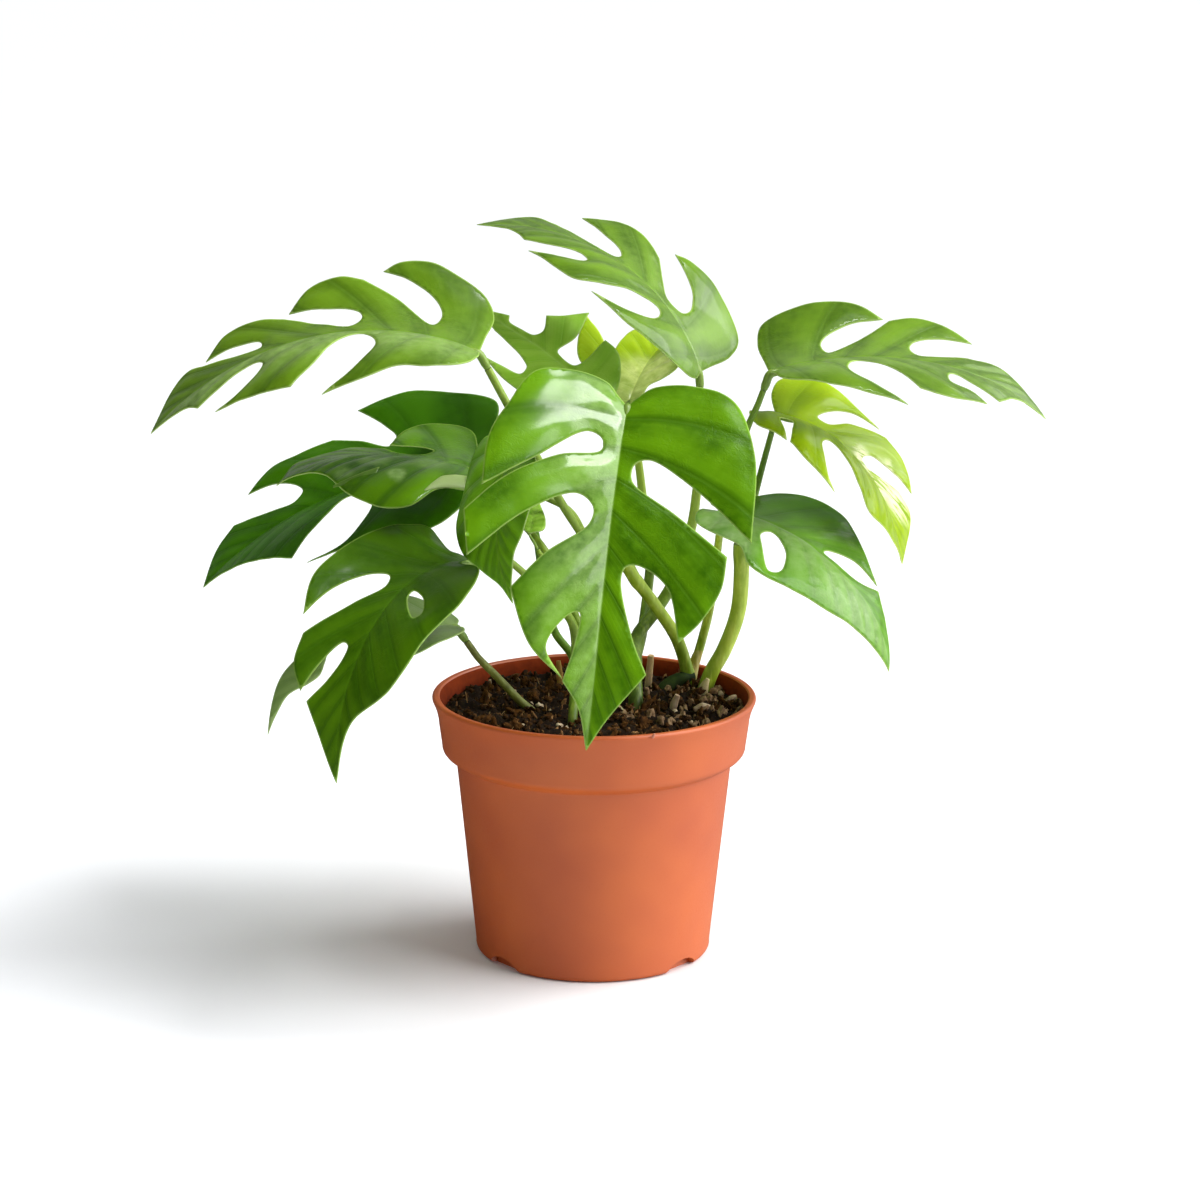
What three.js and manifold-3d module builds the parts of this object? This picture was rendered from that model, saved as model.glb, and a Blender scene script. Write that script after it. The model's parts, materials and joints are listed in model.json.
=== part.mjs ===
// Mini monstera (Rhaphidophora tetrasperma) in a round plastic nursery pot.
// Millimetres, +Z up. The origin is the middle of the pot's underside, on the ground,
// with +X to the plant's right and +Y to its back.

import * as THREE from 'three';
import * as BufferGeometryUtils from 'three/addons/utils/BufferGeometryUtils.js';
import Module from 'manifold-3d';

const wasm = await Module();
wasm.setup();

// ---------------------------------------------------------------- driving dimensions

const GAP = 0.3; // clearance between pieces that touch

const pot = {
  height: 98,
  rimRadius: 60,
  rimInner: 57.2,
  rimDepth: 4, // the rim widens inside over this depth
  rimEdge: 0.8,
  lipHeight: 2.2, // rounded bead along the top of the rim
  lipTaper: 3, // height over which the collar runs out into the bead
  bandTop: 57.6, // radius of the collar just under the bead
  bandBottom: 56.4,
  bandFoot: 77.5, // height of the collar's lower edge
  stepFoot: 71, // the body starts here, under the step
  bodyTop: 51.2,
  bodyBottom: 43.9,
  footHeight: 3.6,
  footEdge: 0.8,
  wall: 1.4,
  floor: 1.6,
  recess: { inner: 27, outer: 39.5, height: 3 }, // ring-shaped channel under the floor
  drains: { count: 8, radius: 4, atRadius: 33.2, depth: 6.4, sides: 12 },
  // arches through the foot's edge
  notches: { count: 4, width: 11, height: 4.6, depth: 8, sides: 16, turn: 45 },
  segments: 48,
  profileSteps: 3, // points along each rounded edge
};

const soil = {
  level: 92,
  sideGap: 0.45,
  segments: 36,
  rings: [11, 22, 32, 41, 48.5, 53],
  // humps of the surface, as crossing waves: height, lengths over x and over y, shift
  waves: [
    [0.35, 7.1, 6.3, 1.3],
    [0.35, 7.1, -6.3, 1.3],
    [0.45, 4.7, 4.7, 0],
    [0.35, 8.9, -4.45, 1.57],
  ],
};

const blade = {
  thickness: 0.8,
  rib: 0.9, // how far the midrib stands out below, at the leaf's base
  neck: 6.5, // length of the knee between leaf stalk and blade
  neckRadius: [1.45, 1.1], // of the knee, at its foot and at the blade
  neckGrip: [4, 0.5], // how far the knee reaches into the blade: along and below
  fullKnee: 60, // a leaf shorter than this has a smaller knee
  tolerance: 0.45, // how far a straight edge may stray from the outline
  longestEdge: 12,
  mesh: 13.5, // spacing of the points inside a blade
  rowHeight: 10.8,
  rows: 6, // rows of those points on each half
  margin: 4.5, // they keep this far from the outline
  midribStep: 8,
  spineSteps: 24,
};

const stalkSides = 8;
const stalkStep = 8; // length of one ring of a stem
const stalkEnd = 3; // a leaf's stalk runs straight into its knee over this length
const stemFoot = 68; // height of the stems' lower ends, deep in the soil

const colours = {
  terracotta: 0xc8683f,
  compost: 0x2c1d14,
  stem: 0x6f9430,
  darkStem: 0x4c6b22,
  dryStem: 0xa98450,
  leaf: 0x5f9e14,
  darkLeaf: 0x33690c,
  limeLeaf: 0xa2cc35,
};

// A leaf is laid out flat as [along, across] points in millimetres: along the midrib from
// the base, and across from it, on each side's own half. TIP marks a corner, which is the
// point of a lobe or the far side of the slit behind it; the rest is smooth.
// The blade then bends: heading, rise and roll turn its base, arch and hook curve it down,
// bend curves it sideways, twist turns it about its midrib, and each half folds down by
// fold degrees at the midrib and sag more by the edge. Pairs are [left, right].

const TIP = true;

const leaves = [
  {
    name: 'leaf_upper_left',
    colour: 'leaf',
    base: [-42, -10, 227],
    heading: 169.5, rise: 20, roll: 7, arch: 73, hook: -8, bend: 4.5, twist: -21.5,
    fold: [-5.5, -8], sag: [41, -31.5], length: 132, halfWidth: 38.5,
    right: [
      [2, 17], [3, 30], [8, 38], [19, 44], [28, 47], [37, 45], [42, 40, TIP],
      [33, 37], [22, 28], [19, 19], [21, 13], [35, 26], [48, 36, TIP],
      [56, 38], [66, 34], [73, 23, TIP],
      [62, 22], [48, 18], [46, 13], [49, 7], [61, 12], [75, 21, TIP],
      [84, 25], [97, 25], [106, 16.5, TIP],
      [94, 16], [84, 12], [83, 7], [87, 7], [98, 11], [107, 15, TIP],
      [113, 18], [121, 15],
    ],
    left: [
      [-2, 14], [1, 25], [11, 31], [22, 33], [36, 40], [52, 44, TIP],
      [43, 37], [37, 28], [35, 18], [43, 5], [50, 11], [57, 27], [66, 36, TIP],
      [79, 33], [100, 28, TIP],
      [88, 26], [80, 19], [79, 14], [84, 9], [95, 13], [108, 18, TIP],
      [114, 11],
    ],
  },
  {
    name: 'leaf_top',
    colour: 'leaf',
    base: [38.5, 30, 213.5],
    heading: 135.5, rise: 64, roll: 24, arch: 84, hook: -16, bend: -0.5, twist: -22.5,
    fold: [-9, -3], sag: [27.5, -13.5], length: 116, halfWidth: 33.5,
    right: [
      [2, 11], [5, 27], [10, 35], [21, 37], [34, 38], [44, 36], [49, 32, TIP],
      [39, 28], [30, 22], [25, 15], [25, 8], [31, 6], [50, 23, TIP],
      [62, 29], [74, 28], [85, 21, TIP],
      [72, 16], [61, 11], [57, 6], [58, 3], [68, 3], [90, 10, TIP],
      [103, 12],
    ],
    left: [
      [-3, 10], [1, 20], [13, 30], [26, 35], [42, 35, TIP],
      [31, 31], [23, 22], [23, 14], [27, 9], [34, 14], [43, 26, TIP],
      [51, 34], [77, 28, TIP],
      [65, 25], [58, 20], [58, 17], [62, 15], [74, 18], [85, 19, TIP],
      [97, 9],
    ],
  },
  {
    name: 'leaf_upper_right',
    colour: 'leaf',
    base: [63, 0, 218.5],
    heading: 12, rise: 14.5, roll: -6.5, arch: 47, hook: 8.5, bend: 0, twist: 21.5,
    fold: [-6, -7.5], sag: [-22.5, 31], length: 111, halfWidth: 39,
    right: [
      [0, 22], [9, 30], [20, 37], [40, 45, TIP],
      [32, 36], [25, 25], [25, 17], [31, 8], [39, 15], [48, 33, TIP],
      [59, 34], [76, 29, TIP],
      [70, 24], [63, 21], [64, 14], [68, 10], [74, 15], [83, 22, TIP],
      [100, 3],
    ],
    left: [
      [2, 15], [4, 30], [9, 41], [20, 45], [34, 45], [44, 40], [50, 32, TIP],
      [38, 30], [27, 23], [24, 17], [25, 10], [37, 17], [52, 31, TIP],
      [62, 34], [72, 32], [82, 25, TIP],
      [69, 23], [59, 18], [56, 12], [58, 7], [69, 10], [79, 14, TIP],
      [93, 16], [103, 10],
    ],
  },
  {
    name: 'leaf_right_young',
    colour: 'limeLeaf',
    base: [67, 25, 198.5],
    heading: -10.5, rise: -8, roll: -4, arch: 88, hook: -21, bend: -3, twist: 5,
    fold: [-14, -12], sag: [-12, 39.5], length: 77.5, halfWidth: 30,
    right: [
      [-5, 2], [-9, 10], [-4, 24], [4, 27], [9, 29, TIP],
      [3, 12], [7, 11], [9, 21], [10.5, 29, TIP],
      [19, 33], [38, 35, TIP],
      [31, 32], [22, 21], [21, 16], [23, 10], [31, 14], [41, 20, TIP],
      [52, 23], [63, 14],
    ],
    left: [
      [-2, 6], [-5, 19], [-3, 30], [10, 34], [23, 29], [32.5, 27.5, TIP],
      [22, 24], [15, 15], [14, 9], [18, 8], [24, 17], [36, 27, TIP],
      [45, 27], [56, 22, TIP],
      [50, 19], [37, 11], [36, 4], [39, 3], [46, 8], [53, 14, TIP],
      [62, 16],
    ],
  },
  {
    name: 'leaf_lower_right',
    colour: 'leaf',
    base: [46.5, 1.5, 167],
    size: 0.993,
    heading: -26.5, rise: -2.5, roll: -1.5, arch: 64, hook: 16.5, bend: 0.5, twist: 5,
    fold: [0.5, 1], sag: [-10.5, 20.5], length: 91.5, halfWidth: 30.5,
    right: [
      [-7, 1], [-4, 15], [4, 21], [19, 24], [27, 30.5], [35, 31.5], [44, 29], [60, 22],
      [72, 14],
    ],
    left: [
      [-9, 10], [-3, 17], [3, 26], [13, 35], [33, 35], [48, 25], [63, 14.5, TIP],
      [51, 14], [42, 7], [42, 3], [47, 3], [57, 5], [65, 13, TIP],
      [78, 6],
    ],
    rightHoles: [[[21, 10], [23, 6], [30, 10], [35, 16], [38, 25], [35, 28], [27, 20]]],
  },
  {
    name: 'leaf_front',
    colour: 'leaf',
    base: [11, -39.5, 213],
    size: 0.98,
    heading: -99.5, rise: -38, roll: -7.5, arch: 37.5, hook: 10.5, bend: 5.5, twist: -10.5,
    fold: [-11.5, -12.5], sag: [8, 10.5], length: 129.5, halfWidth: 42,
    right: [
      [-4, 4], [-9, 9], [-11, 22], [-7, 35], [9, 42], [24, 47], [44, 47, TIP],
      [31, 31], [15, 12], [17, 7], [22, 7], [27, 21], [33, 31], [41, 41], [54, 52, TIP],
      [70, 49, TIP],
      [51, 30], [41, 13], [45, 7], [52, 8], [65, 22], [79, 33, TIP],
      [97, 24], [107.6, 12.9, TIP],
      [96, 17], [85, 10], [85, 7], [93, 7], [109, 12, TIP],
      [117, 4],
    ],
    left: [
      [-4, 3], [-9, 9], [-10, 24], [-4, 38], [19, 48], [53, 50, TIP],
      [36, 30], [24, 11], [26, 6], [33, 6], [44, 21], [59, 42, TIP],
      [71, 41], [83, 35], [91, 28, TIP],
      [72, 22], [65, 11], [66, 7], [71, 6], [91, 12], [103, 18, TIP],
      [120, 6],
    ],
  },
  {
    name: 'leaf_left_back',
    colour: 'darkLeaf',
    base: [-45.5, 37, 172.5],
    size: 1.018,
    heading: 168.5, rise: 0.5, roll: -14, arch: 53, hook: -8, bend: 7.5, twist: -5,
    fold: [-11, -17], sag: [27.5, -1.5], length: 121, halfWidth: 45.5,
    right: [
      [-2, 20], [0, 41], [17, 46], [31, 49], [49, 45, TIP],
      [38, 32], [33, 24], [35, 20], [47, 27], [58, 33, TIP],
      [72, 34], [85, 35], [95, 29, TIP],
      [83, 25], [73, 17], [70, 11], [74, 8], [88, 12], [103, 18, TIP],
      [113, 13],
    ],
    left: [
      [-2, 28], [7, 42], [29, 45], [58, 46, TIP],
      [42, 42], [34, 24], [41, 11], [48, 7], [55, 20], [66, 39, TIP],
      [89, 23],
    ],
  },
  {
    name: 'leaf_left_front',
    colour: 'leaf',
    base: [-44, 6.5, 180.5],
    size: 1.012,
    heading: 166.5, rise: 14, roll: 10.5, arch: 33, hook: 22, bend: 8.5, twist: -4,
    fold: [3.5, -2], sag: [35, -21.5], length: 76.5, halfWidth: 34.5,
    right: [
      [7, 30], [13, 42], [26, 41], [33, 35], [36, 20, TIP],
      [20, 18], [26, 6], [37, 14, TIP],
      [50, 19], [61, 18], [70, 21],
    ],
    left: [
      [-4, 22], [6, 26], [14, 38], [27, 40], [44, 32], [57, 15],
    ],
  },
  {
    name: 'leaf_low_left',
    colour: 'darkLeaf',
    base: [-44, -30, 154.5],
    size: 0.993,
    heading: 232.5, rise: 12.5, roll: 6.5, arch: 96.5, hook: -2, bend: 2, twist: -3,
    fold: [-10.5, -11], sag: [10.5, -25.5], length: 116, halfWidth: 32.5,
    right: [
      [-6, 8], [-3, 12], [-10, 31], [5, 32], [23, 31], [38, 31], [50, 31], [64, 26, TIP],
      [50, 22], [38, 15], [35, 10], [41, 7], [54, 13], [70, 23, TIP],
      [81, 22], [89, 17, TIP],
      [78, 13], [69, 8], [70, 6], [76, 6], [84, 9], [92, 14, TIP],
      [102, 8],
    ],
    left: [
      [8, 4], [18, 10], [28, 26], [49, 33], [66, 27], [85, 20], [98, 5],
    ],
    leftHoles: [[[45, 6], [42, 6], [45, 12], [50, 17], [55, 19], [57, 17], [53, 12]]],
  },
  {
    name: 'leaf_low_left_back',
    colour: 'leaf',
    base: [-51, -2, 123.5],
    size: 1.01,
    heading: 231.5, rise: 11.5, roll: -3.5, arch: 42, hook: 17.5, bend: -4, twist: 0,
    fold: [-15, -12.5], sag: [4.5, -0.5], length: 99, halfWidth: 30.5,
    right: [[-9, 8], [-4, 26], [44, 14], [71, 13], [82, 10]],
    left: [[25, 26], [37, 29], [52, 30], [71, 23], [80, 5], [90, -2]],
  },
  {
    name: 'leaf_top_back',
    colour: 'leaf',
    base: [4, 28, 202.5],
    heading: 144, rise: 31.5, roll: -31, arch: 24, hook: -1.5, bend: -1.5, twist: 0,
    fold: [-8.5, 0], sag: [13, 15.5], length: 75.5, halfWidth: 26,
    right: [
      [1, 6], [8, 15], [16, 21], [24, 22, TIP],
      [20, 7], [21, 3], [27, 2.5], [31, 4], [32, 14], [41, 29, TIP],
      [45, 20], [50, 15, TIP],
      [43, 7], [44, 3.5], [50, 2.5], [57, 2.5], [60, 5, TIP],
      [66, 3],
    ],
    left: [
      [2, 6], [11, 14], [21, 20], [33, 21], [49, 18, TIP],
      [40, 17], [31, 15], [32, 11], [36, 9], [45, 7], [57, 5, TIP],
      [63, 3],
    ],
  },
  {
    name: 'leaf_back_young',
    colour: 'limeLeaf',
    base: [12, 46, 197],
    heading: 74.5, rise: 33.5, roll: -13, arch: 37, hook: 1.5, bend: -1, twist: 1,
    fold: [-24.5, -14.5], sag: [-5.5, 10.5], length: 68.5, halfWidth: 25,
    right: [[1, 5], [10, 7], [12, 12], [17, 17], [29, 16]],
    left: [
      [3, 6], [12, 14], [18, 24], [29, 29], [47, 33, TIP],
      [39, 24], [29, 15], [39, 15, TIP],
      [51, 15], [67, 12, TIP],
    ],
  },
  {
    name: 'leaf_hanging',
    colour: 'leaf',
    base: [-27.5, -22.5, 199],
    size: 0.991,
    heading: -117.5, rise: -40.5, roll: 42.5, arch: 40, hook: 5, bend: 3.5, twist: 4.5,
    fold: [-7, -16.5], sag: [18, 5.5], length: 68, halfWidth: 29,
    right: [[-6, 15], [-5, 24], [6, 25], [18, 24], [31, 25], [41, 21], [50, 12], [60, 3]],
    left: [[-2, 12], [5, 22], [18, 25], [33, 32], [43, 26], [49, 21], [54, 13], [62, 5]],
  },
  {
    name: 'leaf_small',
    colour: 'leaf',
    base: [-24, -5, 159.5],
    heading: 80.5, rise: 35, roll: -2, arch: 19.5, hook: 0, bend: 0, twist: 0,
    fold: [-4.5, -5], sag: [15, 14.5], length: 20, halfWidth: 7.5,
    right: [[2, 5], [7, 5], [15, 2]],
    left: [[3, 3], [13, 4]],
  },
];

// Stems: each is one piece that grew together, with its leaf stalks. A route runs from the
// lower end to the upper one; a stalk that carries a leaf goes on to that leaf's knee.
// Pairs are the radius at the lower and at the upper end.

const stems = [
  {
    name: 'stem_front',
    colour: 'stem',
    routes: [
      {
        points: [
          [33, 30, stemFoot], [36.5, 34, 88], [32, 32, 109], [23, 26, 125], [12, 17, 142], [7, 9, 156],
        ],
        radius: [2.6, 2.1],
      },
      {
        points: [[7, 9, 156], [6, 0, 172], [6, -12, 188], [8, -26, 203]],
        radius: [2, 1.5],
        leaf: 'leaf_front',
      },
      {
        points: [[16, 20, 136], [10, 22, 150], [6, 25, 166], [4, 28, 184]],
        radius: [1.5, 1.2],
        leaf: 'leaf_top_back',
      },
      {
        points: [[35.5, 33, 95], [39, 38, 102], [41.5, 36, 112], [43.5, 29, 124], [45, 17, 143]],
        radius: [1.8, 1.4],
        leaf: 'leaf_lower_right',
      },
    ],
  },
  {
    name: 'stem_right',
    colour: 'stem',
    routes: [
      {
        points: [[36, 22, stemFoot], [43, 27, 89], [48, 27, 107], [54, 25, 124], [55, 22, 150]],
        radius: [2.8, 2.2],
      },
      {
        points: [[55, 22, 150], [55, 25, 166], [54, 15, 181], [55, 5, 196], [59, 1, 207]],
        radius: [2, 1.4],
        leaf: 'leaf_upper_right',
      },
      {
        points: [[55, 23, 146], [58, 27, 160], [62, 26, 178]],
        radius: [1.4, 1.1],
        leaf: 'leaf_right_young',
      },
    ],
  },
  {
    name: 'stem_middle',
    colour: 'stem',
    routes: [
      {
        points: [
          [15, 2, stemFoot], [15.5, 4, 92], [15, 13, 105], [16, 26, 113], [23, 34, 121], [29, 38, 130],
          [36, 36, 152], [38, 34, 167], [39, 32, 188],
        ],
        radius: [2, 1.4],
        leaf: 'leaf_top',
      },
      {
        points: [[15, 15, 106], [18, 30, 114], [20, 41, 126], [21, 44, 140], [18, 43, 163], [16, 44, 178]],
        radius: [1.7, 1.4],
        leaf: 'leaf_back_young',
      },
    ],
  },
  {
    name: 'stem_left',
    colour: 'stem',
    routes: [
      { points: [[-8, -21, stemFoot], [-8, -20, 90], [-7, -14, 104], [-6, -9, 119]], radius: [2.3, 2] },
      {
        points: [
          [-6, -9, 119], [-1, -5, 129], [3, 1, 137], [3, 5, 144], [-4, 4, 156], [-13, 0, 171],
          [-22, -4, 189], [-32, -8, 208],
        ],
        radius: [1.8, 1.4],
        leaf: 'leaf_upper_left',
      },
      {
        points: [[-3, 4, 155], [-9, 3, 166], [-18, 4, 171], [-31, 6, 175.5]],
        radius: [1.3, 1.1],
        leaf: 'leaf_left_front',
      },
      {
        points: [[-5, -8, 124], [-11, -6, 139], [-18, -2, 152], [-26, 10, 159], [-35, 25, 164.5]],
        radius: [1.5, 1.2],
        leaf: 'leaf_left_back',
      },
      { points: [[-16, -4, 148], [-20, -6, 152]], radius: [0.9, 0.8], leaf: 'leaf_small' },
      {
        points: [[-6, -9, 119], [-9, -11, 129], [-17, -15, 138], [-26, -22, 149], [-33, -27, 155.5]],
        radius: [1.7, 1.2],
        leaf: 'leaf_low_left',
      },
    ],
  },
  {
    name: 'stem_inner',
    colour: 'darkStem',
    routes: [
      {
        points: [
          [-8, 32, stemFoot], [-8, 31, 90], [-8, 27, 104], [-15, 22, 116], [-19, 20, 133],
          [-22, 18, 154], [-28, 10, 178], [-30, -3, 189],
        ],
        radius: [1.7, 1.2],
        leaf: 'leaf_hanging',
      },
    ],
  },
  {
    name: 'stem_low_left',
    colour: 'stem',
    routes: [
      {
        points: [[-14, -1, stemFoot], [-20, 1, 87], [-28, 1, 95], [-36, 0, 104], [-43, -2, 112]],
        radius: [1.8, 1.3],
        leaf: 'leaf_low_left_back',
      },
    ],
  },
  {
    name: 'stem_dry_stub',
    colour: 'dryStem',
    routes: [{ points: [[20.5, 35, stemFoot + 6], [20.5, 34.5, 90], [21.5, 33, 104]], radius: [1.7, 1.2] }],
  },
];

// ---------------------------------------------------------------- solids

function solidOf(geometry) {
  const bare = geometry.clone();
  bare.deleteAttribute('normal');
  bare.deleteAttribute('uv');
  const merged = BufferGeometryUtils.mergeVertices(bare, 1e-4);
  return new wasm.Manifold(new wasm.Mesh({
    numProp: 3,
    vertProperties: new Float32Array(merged.attributes.position.array),
    triVerts: new Uint32Array(merged.index.array),
  }));
}

function geometryOf(solid) {
  const mesh = solid.getMesh();
  const geometry = new THREE.BufferGeometry();
  geometry.setAttribute('position', new THREE.BufferAttribute(mesh.vertProperties, 3));
  geometry.setIndex(new THREE.BufferAttribute(mesh.triVerts, 1));
  return geometry;
}

function geometryFrom(points, triangles) {
  const geometry = new THREE.BufferGeometry();
  geometry.setFromPoints(points);
  geometry.setIndex(triangles);
  return geometry;
}

function meshOf(name, geometry, colour, roughness) {
  const facets = geometry.index ? geometry.toNonIndexed() : geometry;
  facets.computeVertexNormals();
  const material = new THREE.MeshStandardMaterial({ color: colours[colour], roughness, metalness: 0 });
  const mesh = new THREE.Mesh(facets, material);
  mesh.name = name;
  return mesh;
}

// ---------------------------------------------------------------- tubes

function smoothPath(points) {
  const corners = points.map((point) => new THREE.Vector3(...point));
  return new THREE.CatmullRomCurve3(corners, false, 'centripetal');
}

// A closed round tube along a path. Its radius runs evenly from the first to the second.
function tube(points, radius, grow = 0) {
  const path = smoothPath(points);
  const steps = Math.max(3, Math.round(path.getLength() / stalkStep));
  const frames = path.computeFrenetFrames(steps, false);
  const rings = [];
  for (let step = 0; step <= steps; step += 1) {
    const centre = path.getPointAt(step / steps);
    const ringRadius = THREE.MathUtils.lerp(radius[0], radius[1], step / steps) + grow;
    for (let side = 0; side < stalkSides; side += 1) {
      const angle = (side / stalkSides) * 2 * Math.PI;
      const point = centre.clone();
      point.addScaledVector(frames.normals[step], ringRadius * Math.cos(angle));
      point.addScaledVector(frames.binormals[step], ringRadius * Math.sin(angle));
      rings.push(point);
    }
  }
  const triangles = [];
  for (let step = 0; step < steps; step += 1) {
    for (let side = 0; side < stalkSides; side += 1) {
      const here = step * stalkSides + side;
      const next = step * stalkSides + ((side + 1) % stalkSides);
      triangles.push(here, next, next + stalkSides, here, next + stalkSides, here + stalkSides);
    }
  }
  const start = rings.length;
  rings.push(path.getPointAt(0), path.getPointAt(1));
  const lastRing = steps * stalkSides;
  for (let side = 0; side < stalkSides; side += 1) {
    const next = (side + 1) % stalkSides;
    triangles.push(start, next, side);
    triangles.push(start + 1, lastRing + side, lastRing + next);
  }
  return solidOf(geometryFrom(rings, triangles));
}

// ---------------------------------------------------------------- blades

function sizeOf(leaf) {
  return leaf.size ?? 1;
}

// The midrib in space: its points, and at each of them the turn of the blade.
function midrib(leaf) {
  const radians = THREE.MathUtils.degToRad;
  const [heading, rise, roll] = [leaf.heading, leaf.rise, leaf.roll].map(radians);
  const turn = new THREE.Quaternion().setFromEuler(new THREE.Euler(roll, -rise, heading, 'ZYX'));
  const point = new THREE.Vector3(...leaf.base);
  const points = [point.clone()];
  const turns = [turn.clone()];
  for (let step = 0; step < blade.spineSteps; step += 1) {
    const from = step / blade.spineSteps;
    const to = (step + 1) / blade.spineSteps;
    const pitch = radians(leaf.arch) * (to - from) + radians(leaf.hook) * (to ** 4 - from ** 4);
    const yaw = radians(leaf.bend) / blade.spineSteps;
    const twist = radians(leaf.twist) / blade.spineSteps;
    const halfTurn = new THREE.Euler(twist / 2, pitch / 2, yaw / 2, 'ZYX');
    const half = new THREE.Quaternion().setFromEuler(halfTurn);
    turn.multiply(half);
    const forward = new THREE.Vector3(1, 0, 0).applyQuaternion(turn);
    point.addScaledVector(forward, (sizeOf(leaf) * leaf.length) / blade.spineSteps);
    turn.multiply(half);
    points.push(point.clone());
    turns.push(turn.clone());
  }
  return { points, turns };
}

// The middle surface of a blade: a function from [along, across] to a point in space.
// Across is positive on the left half.
function bladeSurface(leaf) {
  const { points, turns } = midrib(leaf);
  const size = sizeOf(leaf);
  const move = (point, turn, axis, distance) => {
    point.addScaledVector(new THREE.Vector3(...axis).applyQuaternion(turn), distance);
  };
  return (along, across) => {
    const onRib = THREE.MathUtils.clamp(along, 0, leaf.length);
    const scaled = (onRib / leaf.length) * blade.spineSteps;
    const step = Math.min(Math.floor(scaled), blade.spineSteps - 1);
    const turn = turns[step].clone().slerp(turns[step + 1], scaled - step);
    const point = points[step].clone().lerp(points[step + 1], scaled - step);
    move(point, turn, [1, 0, 0], size * (along - onRib));
    const half = across > 0 ? 0 : 1;
    const reach = Math.abs(across);
    const droop = leaf.fold[half] + (leaf.sag[half] / 2) * (reach / leaf.halfWidth);
    const angle = THREE.MathUtils.degToRad(droop);
    move(point, turn, [0, 1, 0], size * across * Math.cos(angle));
    move(point, turn, [0, 0, -1], size * reach * Math.sin(angle));
    return point;
  };
}

// Points along a smooth outline through [along, across, corner] points, broken at corners.
function sampleOutline(points, closed) {
  const corners = [];
  points.forEach((point, index) => {
    if (point[2]) corners.push(index);
  });
  const asVector = (point) => new THREE.Vector3(point[0], point[1], 0);
  if (closed && corners.length === 0) {
    const curve = new THREE.CatmullRomCurve3(points.map(asVector), true, 'centripetal');
    const count = Math.ceil(curve.getLength());
    const ring = curve.getSpacedPoints(count);
    const middle = Math.floor(ring.length / 2);
    return [...simplify(ring.slice(0, middle + 1)), ...simplify(ring.slice(middle))];
  }
  const outline = [];
  corners.forEach((from, turn) => {
    const to = corners[(turn + 1) % corners.length];
    const run = [points[from]];
    for (let index = from; index !== to;) {
      index = (index + 1) % points.length;
      run.push(points[index]);
    }
    const curve = new THREE.CatmullRomCurve3(run.map(asVector), false, 'centripetal');
    outline.push(...simplify(curve.getSpacedPoints(Math.max(2, Math.ceil(curve.getLength())))));
  });
  return outline;
}

// Fewest points that stay within the tolerance of a run; its last point is left out.
function simplify(run) {
  const keep = (from, to) => {
    const chord = run[to].clone().sub(run[from]);
    let farthest = 0;
    let index = from;
    for (let at = from + 1; at < to; at += 1) {
      const offset = run[at].clone().sub(run[from]);
      const area = Math.abs(chord.x * offset.y - chord.y * offset.x);
      const distance = area / Math.max(chord.length(), 1e-6);
      if (distance > farthest) {
        farthest = distance;
        index = at;
      }
    }
    if (farthest > blade.tolerance) return [...keep(from, index), ...keep(index, to)];
    if (chord.length() > blade.longestEdge && to - from > 1) {
      const middle = Math.floor((from + to) / 2);
      return [...keep(from, middle), ...keep(middle, to)];
    }
    return [run[from]];
  };
  return keep(0, run.length - 1);
}

function outlinesOf(leaf) {
  const onRight = (points) => points.map(([along, across, corner]) => [along, -across, corner]);
  const loop = [
    [0, 0, TIP],
    ...onRight(leaf.right),
    [leaf.length, 0, TIP],
    ...[...leaf.left].reverse(),
  ];
  const holes = [...(leaf.leftHoles ?? []), ...(leaf.rightHoles ?? []).map(onRight)];
  return [sampleOutline(loop, false), ...holes.map((hole) => sampleOutline(hole, true))];
}

function isInside(x, y, outlines) {
  let inside = false;
  outlines.forEach((outline) => {
    outline.forEach((from, index) => {
      const to = outline[(index + 1) % outline.length];
      const crosses = (from.y > y) !== (to.y > y);
      const at = from.x + ((y - from.y) * (to.x - from.x)) / (to.y - from.y);
      if (crosses && x < at) inside = !inside;
    });
  });
  return inside;
}

function distanceToOutlines(x, y, outlines) {
  let nearest = Infinity;
  const point = new THREE.Vector3(x, y, 0);
  const closest = new THREE.Vector3();
  outlines.forEach((outline) => {
    outline.forEach((from, index) => {
      const edge = new THREE.Line3(from, outline[(index + 1) % outline.length]);
      edge.closestPointToPoint(point, true, closest);
      nearest = Math.min(nearest, closest.distanceTo(point));
    });
  });
  return nearest;
}

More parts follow.
